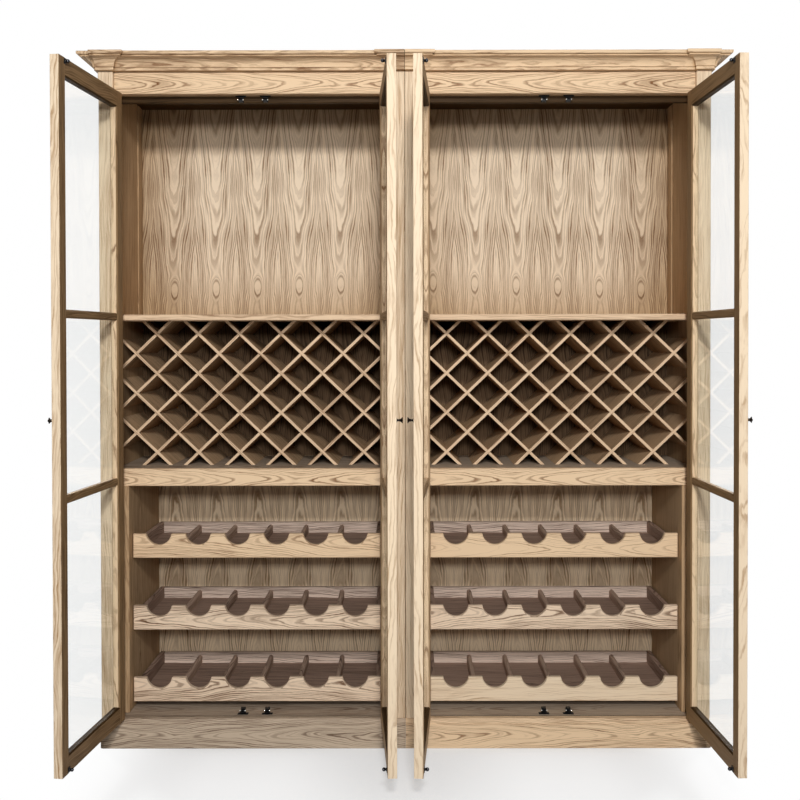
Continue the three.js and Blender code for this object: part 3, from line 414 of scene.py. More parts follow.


# Each oak: its two colours, strength and spacing of the rings, taper of the log and wander of its pith.
# A veneer has its leaf's width too, and after it how dark the painted shade in its inner corners is and how
# far that reaches.
OAKS = {
    # planed, brushed open and limed: pale, with fine brown lines
    "limed_oak": ("oak", "oak_line", 0.65, 0.0042, 0.03, 0.012),
    # the same cut through the log's crown: nested arches
    "crown_cut_oak": ("oak", "oak_line", 0.8, 0.0044, 0.09, 0.014),
    # limed and run through a moulder; painted shade in the hollows outlines each member
    "moulded_oak": ("oak", "oak_line", 0.65, 0.0042, 0.03, 0.012, None, 0.45, 0.03),
    # planed smooth and limed: the palest, with soft lines; on the pilasters it is also painted light against
    # the shade between the leaves
    "planed_oak": ("planed", "planed_line", 0.6, 0.0042, 0.03, 0.012),
    # crown-cut and stained greyer before liming: bold grey-brown arches
    "tray_oak": ("tray", "tray_line", 0.85, 0.0046, 0.08, 0.014),
    # sliced veneer laid slip-matched and oil-finished: one figure with its knot, over and over, with painted
    # shade in its inner corners
    "oak_veneer": ("veneer", "veneer_line", 0.64, 0.0062, 0.08, 0.02, 0.1455, 0.45, 0.22),
    # the same veneer, paler and warmer: painted light behind the trays, without the painted corner shade
    "low_veneer": ("low_veneer", "low_line", 0.7, 0.0062, 0.08, 0.02, 0.1455),
    # the same veneer, darker: painted shade behind the rack
    "shaded_veneer": ("shaded", "shaded_line", 0.9, 0.0062, 0.08, 0.02, 0.1455),
    # quarter-sawn and oiled: an even mid brown with quiet straight lines
    "oak_lining": ("lining", "lining_line", 0.6, 0.0050, 0.02, 0.012),
    # painted shade: a darker, warmer brown for the doors' backs
    "oiled_oak": ("oiled", "oiled_line", 0.7, 0.0046, 0.03, 0.012),
    # planed edges of thin boards, limed: pale lines that draw the rack
    "oak_edge": ("edge", "oak_line", 0.4, 0.0050, 0.02, 0.02),
    # the same boards' sawn faces, browner than their edges: painted shade inside the rack's cells
    "oak_rack": ("rack", "rack_line", 0.6, 0.0050, 0.02, 0.02),
    # painted shade: near-black oak that stands for the shade on the stop rail, the top's underside, the seam,
    # its filler and the rails' edges at the glass
    "smoked_oak": ("smoked", "smoked_line", 0.6, 0.0050, 0.02, 0.012),
    # sanded and greyed with iron stain: a dull floor under the rack
    "rack_grey": ("floor", "floor_line", 0.7, 0.0050, 0.04, 0.012),
    # rubbed with a pinkish umber stain: cool against the fronts
    "stained_oak": ("stained", "stained_line", 0.9, 0.0050, 0.04, 0.012),
    # the same stain left on longer: the trays' dark insides
    "umber_oak": ("umber", "umber_line", 0.9, 0.0050, 0.04, 0.012),
    # painted light: lighter than the trays' sides, for the light on the dividers' rounded tops
    "divider_oak": ("divider", "umber_line", 0.6, 0.0050, 0.04, 0.012),
    # crown-cut and greyed with iron stain: broad dull arches
    "plinth_oak": ("plinth", "floor_line", 1.0, 0.0046, 0.09, 0.014),
    # planed and greyed with iron stain: a grey-brown floor with plain lines
    "floor_oak": ("floor", "floor_line", 0.8, 0.0046, 0.05, 0.014),
}
# Each metal: its colour, roughness, metallic and the size of its unevenness in metres.
METALS = {
    # cast bronze, patinated: dark brown with a soft gleam
    "dark_bronze": ("bronze", 0.38, 1.0, 0.003),
    # rolled or turned steel, nickel-plated and polished: clear bright points
    "polished_nickel": ("nickel", 0.12, 1.0, 0.004),
    # turned steel, black nickel plate: a dark mirror with one sharp glint
    "black_nickel": ("black_nickel", 0.16, 1.0, 0.004),
    # pressed spring steel, painted: flat black
    "black_steel": ("clip", 0.5, 0.0, 0.002),
}


def finish(name):
    """The material of that name, made when it is first asked for."""
    if name in bpy.data.materials:
        return bpy.data.materials[name]
    paint = settings("colours")
    if name in OAKS:
        wood, line, *numbers = OAKS[name]
        return sawn_oak(name, getattr(paint, wood), getattr(paint, line), *numbers)
    if name in METALS:
        tint, *numbers = METALS[name]
        return cast_metal(name, getattr(paint, tint), *numbers)
    return float_glass()


# Boards


def outward(points, faces):
    """The faces of a closed body, turned so that they face out."""
    volume = 0.0
    for face in faces:
        first = points[face[0]]
        for a, b in zip(face[1:-1], face[2:]):
            volume += first.dot(points[a].cross(points[b]))
    return faces if volume > 0 else [face[::-1] for face in faces]


def eased_box(low, high, ease):
    """A box whose edges are rubbed down by ease."""
    low, high = Vector(low), Vector(high)
    centre, half = (low + high) / 2, (high - low) / 2
    ease = min(ease, 0.6 * min(half))
    points, index, faces = [], {}, []
    corners = [(x, y, z) for x in (-1, 1) for y in (-1, 1) for z in (-1, 1)]
    for corner in corners:
        for flat in range(3):
            index[corner, flat] = len(points)
            reach = [half[i] - (0 if i == flat else ease) for i in range(3)]
            points.append(centre + Vector(corner[i] * reach[i] for i in range(3)))
    for axis in range(3):
        a, b = (i for i in range(3) if i != axis)
        for end in (-1, 1):
            ring = []
            for sign_a, sign_b in ((-1, -1), (1, -1), (1, 1), (-1, 1)):
                corner = [end, end, end]
                corner[a], corner[b] = sign_a, sign_b
                ring.append(index[tuple(corner), axis])
            faces.append(ring)
        for sign_a in (-1, 1):
            for sign_b in (-1, 1):
                near = [-1, -1, -1]
                near[a], near[b] = sign_a, sign_b
                far = list(near)
                far[axis] = 1
                near, far = tuple(near), tuple(far)
                faces.append([index[near, a], index[near, b], index[far, b], index[far, a]])
    faces.extend([index[corner, 0], index[corner, 1], index[corner, 2]] for corner in corners)
    turned = []
    for face in faces:
        a, b, c = (points[i] for i in face[:3])
        middle = sum((points[i] for i in face), Vector()) / len(face)
        out = (b - a).cross(c - a).dot(middle - centre) > 0
        turned.append(face if out else face[::-1])
    return points, turned


def through_rings(rings):
    """A closed body through rings of the same number of points."""
    count = len(rings[0])
    points = [Vector(point) for ring in rings for point in ring]
    faces = [list(range(count))[::-1], [len(points) - count + i for i in range(count)]]
    for ring in range(len(rings) - 1):
        for i in range(count):
            a, b = ring * count + i, ring * count + (i + 1) % count
            faces.append([a, b, b + count, a + count])
    return points, outward(points, faces)


def inset(outline, distance):
    """The outline moved inwards by distance, corner by corner."""
    area = sum(a[0] * b[1] - b[0] * a[1] for a, b in zip(outline, outline[1:] + outline[:1]))
    turn = 1 if area > 0 else -1
    moved = []
    for i, (x, y) in enumerate(outline):
        before, after = outline[i - 1], outline[(i + 1) % len(outline)]
        one = Vector((x - before[0], y - before[1])).normalized()
        two = Vector((after[0] - x, after[1] - y)).normalized()
        normal = Vector((-(one.y + two.y), one.x + two.x)) * turn
        scale = distance * 2 / max(normal.length_squared, 0.5)
        moved.append((x + normal.x * scale, y + normal.y * scale))
    return moved


def eased_prism(outline, start, end, ease, place):
    """A prism of the outline from start to end with rubbed-down rims. place(a, b, depth) gives a point."""
    small = inset(outline, ease)
    levels = ((small, start), (outline, start + ease), (outline, end - ease), (small, end))
    return through_rings([[place(a, b, level) for a, b in ring] for ring, level in levels])


def turned(profile, steps, lobes=0, depth=0.0):
    """A closed turned body from (radius, height) pairs about Z; lobes flute it by a share of its radius."""
    rings = []
    for radius, height in profile:
        ring = []
        for i in range(steps):
            angle = 2 * math.pi * i / steps
            reach = radius * (1 - depth * (0.5 - 0.5 * math.cos(lobes * angle)))
            ring.append((reach * math.cos(angle), reach * math.sin(angle), height))
        rings.append(ring)
    return through_rings(rings)


def ball(radius, steps):
    """A ball about the origin, with its poles on Z."""
    angles = [math.pi * (k + 0.02) / (steps + 0.04) for k in range(steps + 1)]
    return turned([(radius * math.sin(a), -radius * math.cos(a)) for a in angles], 20)


# the ways that a face can look, for those that get a finish of their own
WAYS = {"up": (0, 0, 1), "down": (0, 0, -1), "front": (0, -1, 0), "back": (0, 1, 0), "end": (1, 0, 0)}


class Bench:
    """Gathers the boards of one piece into a mesh, each board with its own grain and tone."""

    def __init__(self, name, place):
        self.name, self.place = name, place
        self.points, self.faces, self.grain, self.tone = [], [], [], []
        self.finishes, self.slots, self.smooth = [], [], []
        self.random = random.Random(name)
        # painted light and shade: the right unit's boards are a little lighter than the left one's, as the
        # light falls more on the right
        self.shift = -0.6 if "right" in name else 0.4

    def lay(self, body, along, coat, pith=None, matrix=None, smooth=False, **special):
        """Adds a body whose grain runs along that axis. pith is where its tree's middle lay. special names
        the finishes of faces that look up, down, front, back or end, where they differ from the coat."""
        points, faces = body
        low = Vector(min(p[i] for p in points) for i in range(3))
        high = Vector(max(p[i] for p in points) for i in range(3))
        size = high - low
        wide, thin = sorted((i for i in range(3) if i != along), key=lambda i: -size[i])
        if pith is None:
            # most boards were sawn beside the pith, so their lines run straight
            crown = coat in ("crown_cut_oak", "tray_oak")
            beside = self.random.uniform(-0.02, 0.02) if crown else self.random.uniform(0.06, 0.2)
            through = self.random.uniform(0.02, 0.035) if crown else self.random.uniform(0.04, 0.06)
            pith = (self.random.uniform(-0.9, 0.9), beside, through)
        tone = self.random.uniform(-1, 1) + self.shift
        whole = self.place @ matrix if matrix else self.place
        start = len(self.points)
        for point in points:
            local = point - (low + high) / 2
            self.grain.append((local[along] + pith[0], local[wide] + pith[1], local[thin] + pith[2]))
            self.points.append(whole @ point)
        self.tone += [tone] * len(points)
        self.finishes += [name for name in (coat, *special.values()) if name not in self.finishes]
        flip = -1 if whole.determinant() < 0 else 1
        for face in faces:
            self.faces.append([start + i for i in face][::flip])
            a, b, c = (points[i] for i in face[:3])
            facing = (b - a).cross(c - a).normalized()
            own = [special[way] for way in WAYS if way in special and facing.dot(WAYS[way]) > 0.5]
            self.slots.append(self.finishes.index(own[0] if own else coat))
        self.smooth += [smooth] * len(faces)

    def board(self, x, y, z, along, coat="limed_oak", pith=None, matrix=None, ease=None):
        low, high = zip(x, y, z)
        rubbed = settings("case").ease if ease is None else ease
        self.lay(eased_box(low, high, rubbed), "XYZ".index(along), coat, pith, matrix)

    def done(self, body, slot, *nodes):
        """Makes the mesh, puts it on its body and lets it stand for those CAD nodes."""
        mesh = bpy.data.meshes.new(self.name)
        mesh.from_pydata(self.points, [], self.faces)
        grain = mesh.attributes.new("grain", "FLOAT_VECTOR", "POINT")
        grain.data.foreach_set("vector", [value for point in self.grain for value in point])
        mesh.attributes.new("tone", "FLOAT", "POINT").data.foreach_set("value", self.tone)
        for name in self.finishes:
            mesh.materials.append(finish(name))
        mesh.polygons.foreach_set("material_index", self.slots)
        mesh.polygons.foreach_set("use_smooth", self.smooth)
        mesh.validate()
        mesh.update()
        piece = bpy.data.objects.new(self.name, mesh)
        bpy.context.collection.objects.link(piece)
        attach(piece, body)
        if nodes:
            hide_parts(*nodes)
        return piece


UNITS = ("left", "right")
ENDS = ("inner", "outer")


def unit_matrix(unit, end="inner"):
    """Places a piece drawn to the right of the seam, or its mirror image to the left. A piece of the outer
    end is drawn at the seam as well, and turned over to that end."""
    case = settings("case")
    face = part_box("right_back_panel")[0].y - case.back_plane
    place = Matrix.Translation((0, face, 0)) @ Matrix.Diagonal((-1 if unit == "left" else 1, 1, 1, 1))
    if end == "outer":
        place = place @ Matrix.Translation((case.unit_width, 0, 0)) @ Matrix.Diagonal((-1, 1, 1, 1))
    return place


def levels():
    """The named heights of a unit."""
    case, cornice = settings("case"), settings("cornice")
    shelf_low, shelf_high = (corner.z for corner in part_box("right_display_shelf"))
    rail_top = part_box("right_rack_floor")[1].z
    cornice_bottom = case.height - cornice.height
    return {
        "shelf_low": shelf_low,
        "shelf_high": shelf_high,
        "rack_floor": rail_top - case.rail_lip,
        "rail_top": rail_top,
        "rail_low": rail_top - case.rail_height,
        "cornice": cornice_bottom,
        "opening_top": cornice_bottom - case.frieze_height,
    }


def level_ring(x, y, z):
    """The corners of a rectangle at one level."""
    return [(x[0], y[0], z), (x[1], y[0], z), (x[1], y[1], z), (x[0], y[1], z)]


# Operators, one for each group of pieces


class CABINET_OT_sides(bpy.types.Operator):
    """Build the sides with their pilasters, battens and runner panels"""

    bl_idname = "cabinet.sides"
    bl_label = "Sides"

    def execute(self, context):
        case, at = settings("case"), levels()
        gap, post, side_in = case.gap, case.pilaster_thickness, case.side_thickness
        height = (case.plinth_height + gap, at["cornice"] - gap)
        batten_x = (side_in, side_in + case.batten_thickness)
        batten_back = case.back_plane - case.batten_back
        batten_y = (batten_back - case.batten_width, batten_back)
        batten_z = (at["shelf_high"] + gap, height[1] - case.board_thickness - gap)
        for unit in UNITS:
            for end in ENDS:
                place = unit_matrix(unit, end)
                start, seam = (gap / 2, case.seam / 2) if end == "inner" else (0, 0)
                side = Bench(f"{unit}_{end}_side_boards", place)
                # the pilasters are paler: planed oak, and also painted light against the shade between the
                # leaves
                side.board((seam, case.pilaster_width), (0, post), height, "Z", "planed_oak")
                side.board((start, side_in), (post, case.depth), height, "Z", "oak_lining")
                side.board(batten_x, batten_y, batten_z, "Z", "oak_lining")
                side.done("case", "pale_oak", f"{unit}_{end}_side")
                self.lining(unit, end, place, at)
        # painted shade: a near-black strip stands for the shadow in the seam between the units
        strip = Bench("seam_strip", unit_matrix("right"))
        half, recess, rub = case.seam / 2 - 0.0001, 0.003, 0.0001
        strip.board((-half, half), (recess, post - 0.001), height, "Z", "smoked_oak", ease=rub)
        strip.done("case", "deep_oak")
        return {"FINISHED"}

    def lining(self, unit, end, place, at):
        """A panel on two spacers, with the trays' runners on it."""
        case, tray = settings("case"), settings("trays")
        gap, front, spacer = case.gap, case.inner_front, case.spacer_depth
        face = case.pilaster_width + case.liner_inset
        inner = face - case.board_thickness
        height = (case.plinth_height + gap, at["rail_low"] - gap)
        back = case.back_plane - case.liner_back_gap
        panel = Bench(f"{unit}_{end}_runner_lining", place)
        panel.board((inner, face), (front, back), height, "Z", "oak_lining")
        for start in (front, back - spacer):
            spread = (case.side_thickness + gap, inner)
            panel.board(spread, (start, start + spacer), height, "Z", "oak_lining")
        panel.done("case", "deep_oak", f"{unit}_{end}_runner_panel")
        # a runner is an angle of 2 mm sheet, 22 mm high and 12 mm wide
        runners = Bench(f"{unit}_{end}_runners", place)
        sheet, web, flange, rear = 0.002, 0.022, 0.012, 0.010
        depth = (tray.front_plane + tray.front_thickness + gap, back - rear)
        for i in range(tray.count):
            low = tray.first_top + i * tray.pitch - tray.wall_drop - tray.wall_height - gap - sheet
            for wide, high in ((sheet, web), (flange, sheet)):
                x, z = (face, face + wide), (low, low + high)
                runners.board(x, depth, z, "Y", "polished_nickel", ease=0.0003)
        runners.done("case", "dark_metal")


class CABINET_OT_case(bpy.types.Operator):
    """Build the plinth, floor, header, shelves, back and top"""

    bl_idname = "cabinet.case"
    bl_label = "Case"

    def execute(self, context):
        case, at = settings("case"), levels()
        inset = case.side_thickness + case.gap
        span = (inset, case.unit_width - inset)
        for unit in UNITS:
            self.plinth(unit, case)
            self.header(unit, case, at, span)
            self.shelves(unit, case, at, span)
        return {"FINISHED"}

    def plinth(self, unit, case):
        start, width = case.gap / 2, case.unit_width
        inside = width - case.side_thickness
        quirk, rub, tongue = 0.002, 0.0008, 0.004
        face, rim = case.plinth_reach, case.plinth_height - case.plinth_bevel
        profile = (
            (face - rub, 0), (face, rub), (face, rim - quirk), (face - quirk, rim - quirk),
            (face - quirk, rim), (0, case.plinth_height),
        )
        thickness, radius = case.floor_thickness, case.plinth_corner
        turn = [math.pi / 2 * i / 6 for i in range(7)]
        front, side = [], []
        for reach, z in profile:
            corner = [
                (width - radius * (1 - math.sin(a)), radius * (1 - math.cos(a)) - reach, z) for a in turn
            ]
            front.append([(start, -reach, z), *corner, (width, thickness, z), (start, thickness, z)])
            side.append(level_ring((inside, width), (thickness, case.depth), z))
        base = Bench(f"{unit}_plinth", unit_matrix(unit))
        # the two plinths were sawn from different boards, the right one lighter
        coat = "crown_cut_oak" if unit == "right" else "plinth_oak"
        base.lay(through_rings(front), 0, coat, (-0.22, 0.004, 0.028))
        base.lay(through_rings(side), 1, coat)
        low = case.plinth_height - thickness
        depth, floor = (thickness - tongue, case.depth), (low, case.plinth_height)
        base.board((start, inside), depth, floor, "X", "floor_oak", ease=0.0004)
        base.board((start, case.side_thickness), (thickness, case.depth), (0, low), "Y", "floor_oak")
        rail = (case.depth - case.board_thickness, case.depth)
        base.board((case.side_thickness, inside), rail, (0, low), "X", "floor_oak")
        base.done("case", "pale_oak", f"{unit}_base")

    def header(self, unit, case, at, span):
        inset = case.pilaster_width + 3 * case.gap
        between = (inset, case.unit_width - inset)
        bottom, front = at["opening_top"], case.inner_front
        stop_low = bottom - case.stop_drop
        stop_high = stop_low + case.stop_height
        frieze = (case.frieze_recess, case.frieze_recess + case.frieze_thickness)
        height, pith = (bottom, at["cornice"] - case.gap), (0.3, 0.003, 0.028)
        header = Bench(f"{unit}_header_boards", unit_matrix(unit))
        header.board(between, frieze, height, "X", "crown_cut_oak", pith)
        header.board(between, (frieze[1], front), (bottom, stop_high), "X", "oak_lining")
        # painted shade: the stop rail is near black, standing for the shade under the frieze
        header.board(span, (front, front + case.board_thickness), (stop_low, stop_high), "X", "smoked_oak")
        header.done("case", "pale_oak", f"{unit}_header")

    def shelves(self, unit, case, at, span):
        gap, place, front, board = case.gap, unit_matrix(unit), case.inner_front, case.board_thickness
        face, low, high = case.back_plane, case.plinth_height + gap, at["cornice"] - gap
        back = face - gap
        shelf = Bench(f"{unit}_shelf_board", place)
        shelf.board(span, (front, back), (at["shelf_low"], at["shelf_high"]), "X", "oak_edge")
        shelf.done("case", "rack_oak", f"{unit}_display_shelf")
        rack = Bench(f"{unit}_rack_floor_boards", place)
        rail_back, pith = front + case.rail_thickness, (0.15, 0.008, 0.03)
        rack.board(span, (front, rail_back), (at["rail_low"], at["rail_top"]), "X", "crown_cut_oak", pith)
        rack.board(span, (rail_back, back), (at["rack_floor"] - board, at["rack_floor"]), "X", "rack_grey")
        rack.done("case", "pale_oak", f"{unit}_rack_floor")
        top = Bench(f"{unit}_top_panel", place)
        middle, depth = at["cornice"] - board / 2, (front + board + gap, back)
        # painted shade: the top's lower half is near black, standing for the shade beneath it
        top.board(span, depth, (high - board, middle), "X", "smoked_oak")
        top.board(span, depth, (middle, high), "X", "oak_lining")
        top.done("case", "deep_oak", f"{unit}_top_board")
        panel = Bench(f"{unit}_back_veneer", place)
        # the leaves' arches meet in a knot 110 mm above the shelf; the back is painted lighter behind the
        # trays and darker behind the rack, for light and shade
        knot, beside = at["shelf_high"] + 0.11, -0.047 if unit == "left" else -0.066
        edges = (low, at["rack_floor"], at["shelf_low"], high)
        middle, rear = face + case.back_thickness / 2, face + case.back_thickness
        for base, top, coat in zip(edges, edges[1:], ("low_veneer", "shaded_veneer", "oak_veneer")):
            pith = ((base + top) / 2 - knot, beside, 0.028)
            panel.board(span, (face, middle), (base, top), "Z", coat, pith, ease=0.0003)
        panel.board(span, (middle, rear), (low, high), "Z", "oak_lining", ease=0.0003)
        panel.done("case", "deep_oak", f"{unit}_back_panel")


class CABINET_OT_cornice(bpy.types.Operator):
    """Build the moulded cornice with its blocks over the pilasters"""

    bl_idname = "cabinet.cornice"
    bl_label = "Cornice"

    def profile(self, size):
        """Reach and height pairs, from the bottom up."""
        bead, spread = size.band_height + size.bead_height, size.cove_reach - size.bead_reach
        turn = [math.pi / 2 * i / 8 for i in range(9)]
        hollow = [
            (size.bead_reach + spread * (1 - math.cos(a)), bead + size.cove_height * math.sin(a))
            for a in turn
        ]
        cove_top = bead + size.cove_height
        fillet_top = cove_top + size.fillet_height
        quirk, rub = 0.002, 0.001
        return [
            (size.band_reach, 0), (size.band_reach, size.band_height), (size.bead_reach, size.band_height),
            *hollow,
            (size.fillet_reach, cove_top), (size.fillet_reach, fillet_top),
            (size.reach - quirk, fillet_top), (size.reach, fillet_top + quirk),
            (size.reach, size.height - rub), (size.reach - rub, size.height),
        ]

    def execute(self, context):
        case, size = settings("case"), settings("cornice")
        width, side_in, inner = case.unit_width, case.side_thickness, case.pilaster_thickness
        bottom = levels()["cornice"]
        # the filler in the seam lies behind the blocks' faces
        recess, clear = 0.004, 0.001
        for unit in UNITS:
            run, seam_block, end_block, side, filler = [], [], [], [], []
            for reach, rise in self.profile(size):
                block_end = case.pilaster_width + reach * size.block_return_share
                flare = size.block_flare * reach / size.reach
                lead = -reach - size.block_lead
                shapes = (
                    (run, (block_end, width - block_end), (-reach, inner), 0),
                    (seam_block, (case.seam / 2, block_end), (lead, inner), 0),
                    (end_block, (width - block_end, width + flare), (lead, inner), 0),
                    # the return and the seam's filler run through the blocks, their ends a hair inside
                    (side, (width - side_in, width + reach), (-reach, case.depth), case.gap),
                    (filler, (0, side_in), (lead + recess, inner - clear), case.gap),
                )
                for rings, x, y, hair in shapes:
                    rings.append(level_ring(x, y, bottom + rise + hair * (1 - 2 * rise / size.height)))
            cornice = Bench(f"{unit}_cornice_mouldings", unit_matrix(unit))
            if unit == "left":
                # painted shade: this cornice is darker still, as the left side takes less light
                cornice.shift = 1.6
            for rings, along in ((run, 0), (seam_block, 0), (end_block, 0), (side, 1)):
                cornice.lay(through_rings(rings), along, "moulded_oak")
            # painted shade: the filler is near black, so the seam between the blocks reads as a shadow line
            cornice.lay(through_rings(filler), 0, "smoked_oak")
            cornice.done("case", "pale_oak", f"{unit}_cornice")
        return {"FINISHED"}


class CABINET_OT_racks(bpy.types.Operator):
    """Build the diagonal bottle racks from halved boards"""

    bl_idname = "cabinet.racks"
    bl_label = "Bottle racks"

    def limit(self, centre, slope, half, offset, way):
        """How far a board's face at that offset from its middle runs one way before it meets the case."""
        x, z = centre - offset * math.sin(slope), offset * math.cos(slope)
        dx, dz = way * math.cos(slope), way * math.sin(slope)
        return way * min((math.copysign(half[0], dx) - x) / dx, (math.copysign(half[1], dz) - z) / dz)

    def comb(self, limit, slots, depth, size, from_front):
        """A board along X with slots cut half way in from one edge; its ends lean to meet the case."""
        rings, ease = [], 0.0007
        half, slot = size.board / 2, size.board / 2 + size.slot_gap
        middle = (depth[0] + depth[1]) / 2
        for offset, rub in ((-half, ease), (-half + ease, 0), (half - ease, 0), (half, ease)):
            edges = (depth[0] + rub, depth[1] - rub)
            cut, plain = edges if from_front else edges[::-1]
            start, end = limit(offset, -1), limit(offset, 1)
            outline = [(start, cut)]
            for place in slots:
                a, b = place - slot, place + slot
                outline += [(a, cut), (a, middle), (b, middle), (b, cut)]
            outline += [(end, cut), (end, plain), (start, plain)]
            rings.append([(x, y, offset) for x, y in outline])
        return through_rings(rings)

    def execute(self, context):
        case, size, at = settings("case"), settings("rack"), levels()
        low, high = at["rack_floor"] + case.gap, at["shelf_low"] - case.gap
        half = (case.unit_width / 2 - case.side_thickness - case.gap, (high - low) / 2)
        back = case.back_plane - size.back_gap
        depth = (back - size.depth, back)
        tilt = math.atan2(size.half_height, size.half_width)
        reach = half[0] + half[1] * size.half_width / size.half_height
        last = math.floor((reach - size.corner) / (2 * size.half_width))
        step = math.hypot(size.half_width, size.half_height)
        margin = size.board / 2 + size.slot_gap
        for unit in UNITS:
            rack = Bench(f"{unit}_rack_lattice", unit_matrix(unit))
            for index in range(-last, last + 1):
                centre = 2 * index * size.half_width
                place = Matrix.Translation((case.unit_width / 2 + centre, 0, (high + low) / 2))
                for falling in (True, False):
                    slope = -tilt if falling else tilt
                    limit = partial(self.limit, centre, slope, half)
                    first, final = limit(0, -1) + margin, limit(0, 1) - margin
                    crossings = (step * (other - index) for other in range(-last, last + 1))
                    slots = [a for a in crossings if first < a < final]
                    body = self.comb(limit, slots, depth, size, falling)
                    leaning = place @ Matrix.Rotation(-slope, 4, "Y")
                    # painted shade: the boards' faces are darker than their front edges
                    rack.lay(body, 0, "oak_rack", matrix=leaning, front="oak_edge")
            nodes = [name for name in frame["nodes"] if name.startswith(f"{unit}_rack_boards_")]
            rack.done("case", "rack_oak", *nodes)
        return {"FINISHED"}


class CABINET_OT_trays(bpy.types.Operator):
    """Build the pull-out bottle trays"""

    bl_idname = "cabinet.trays"
    bl_label = "Bottle trays"

    def scallops(self, size, pitch):
        """The top edge of a front: scallops with rounded shoulders, from left to right."""
        bowl, lip, rise, quarter = size.scallop_radius, size.lip, size.scallop_rise, math.pi / 2
        lean = math.acos((lip + rise) / (bowl + lip))
        shoulder = (bowl + lip) * math.sin(lean)
        edge = []
        for i in range(size.scallops):
            centre = (i - (size.scallops - 1) / 2) * pitch
            arcs = (
                (centre - shoulder, -lip, lip, quarter, quarter - lean, 4),
                (centre, rise, bowl, -quarter - lean, -quarter + lean, 20),
                (centre + shoulder, -lip, lip, quarter + lean, quarter, 4),
            )
            for x, z, radius, start, end, steps in arcs:
                for k in range(steps + 1):
                    angle = start + (end - start) * k / steps
                    edge.append((x + radius * math.cos(angle), z + radius * math.sin(angle)))
        # where two arcs meet, one point is left
        return [edge[0], *(b for a, b in zip(edge, edge[1:]) if math.dist(a, b) > 1e-5)]

    def execute(self, context):
        case, size = settings("case"), settings("trays")
        half = case.unit_width / 2 - case.pilaster_width - case.liner_inset - size.side_gap
        pitch = 2 * (half - size.scallop_end) / (size.scallops - 1)
        foot = -size.front_height
        outline = [(-half, foot), (-half, 0), *self.scallops(size, pitch), (half, 0), (half, foot)]
        for unit in UNITS:
            for i in range(size.count):
                top = size.first_top + i * size.pitch
                place = unit_matrix(unit) @ Matrix.Translation((case.unit_width / 2, size.front_plane, top))
                body = f"{unit}_tray_{i + 1}"
                front = Bench(f"{body}_scalloped_front", place)
                board = eased_prism(
                    outline, 0, size.front_thickness, size.front_ease, lambda a, b, y: (a, y, b)
                )
                # the photograph's top trays are the warmest and the right one at the bottom is the palest
                coat = "crown_cut_oak" if i == size.count - 1 else "tray_oak"
                front.lay(board, 0, "planed_oak" if unit == "right" and i == 0 else coat)
                front.done(body, "pale_oak", f"{body}_front")
                self.box(body, place, size, half - size.wall_inset, pitch, case)
        return {"FINISHED"}

    def box(self, body, place, size, half, pitch, case):
        """The tray behind its front: walls, floor and round-topped dividers."""
        front, back = size.front_thickness + case.gap, case.back_plane - size.rear_gap - size.front_plane
        height = (-size.wall_drop - size.wall_height, -size.wall_drop)
        inner, rear, floor = half - size.wall, back - size.wall, -size.floor_drop
        tray = Bench(f"{body}_bottle_bed", place)
        for x in ((-half, -inner), (inner, half)):
            tray.board(x, (front, back), height, "Y", "umber_oak")
        tray.board((-inner, inner), (rear, back), height, "X", "stained_oak")
        sheet = (floor - size.floor_thickness, floor)
        tray.board((-inner, inner), (front, rear), sheet, "X", "umber_oak", ease=0.0004)
        radius = size.divider_width / 2
        crown = -size.divider_drop - radius
        turn = [math.pi * k / 12 for k in range(13)]
        for i in range(size.scallops - 1):
            x = (i - (size.scallops - 2) / 2) * pitch
            outline = [(x - radius, floor), (x + radius, floor)]
            outline += [(x + radius * math.cos(a), crown + radius * math.sin(a)) for a in turn]
            rings = [[(a, y, b) for a, b in outline] for y in (front, rear)]
            tray.lay(through_rings(rings), 1, "divider_oak")
        tray.done(body, "grey_oak", f"{body}_box")


def leaf_width():
    case, door = settings("case"), settings("doors")
    return (case.unit_width - 2 * case.pilaster_width - door.meeting_gap) / 2 - door.gap


def leaf_span():
    door = settings("doors")
    return settings("case").plinth_height + door.height_gap, levels()["opening_top"] - door.height_gap


def hinge_levels():
    low, high = leaf_span()
    reach = settings("doors").hinge_end
    return low + reach, (low + high) / 2, high - reach


def pin_matrix(unit, end):
    """Places a piece drawn from the pin of a door's hinges."""
    case, door = settings("case"), settings("doors")
    pin = Matrix.Translation((case.pilaster_width + door.gap / 2, -door.pin_proud, 0))
    return unit_matrix(unit, end) @ pin


def leaf_matrix(unit, end):
    """Places a leaf drawn from its pin, with X along it and Y back through it, open as at rest."""
    open_by = -JOINTS[f"{unit}_{end}_door_hinge"]["range_deg"][0]
    return pin_matrix(unit, end) @ Matrix.Rotation(-math.radians(open_by), 4, "Z")


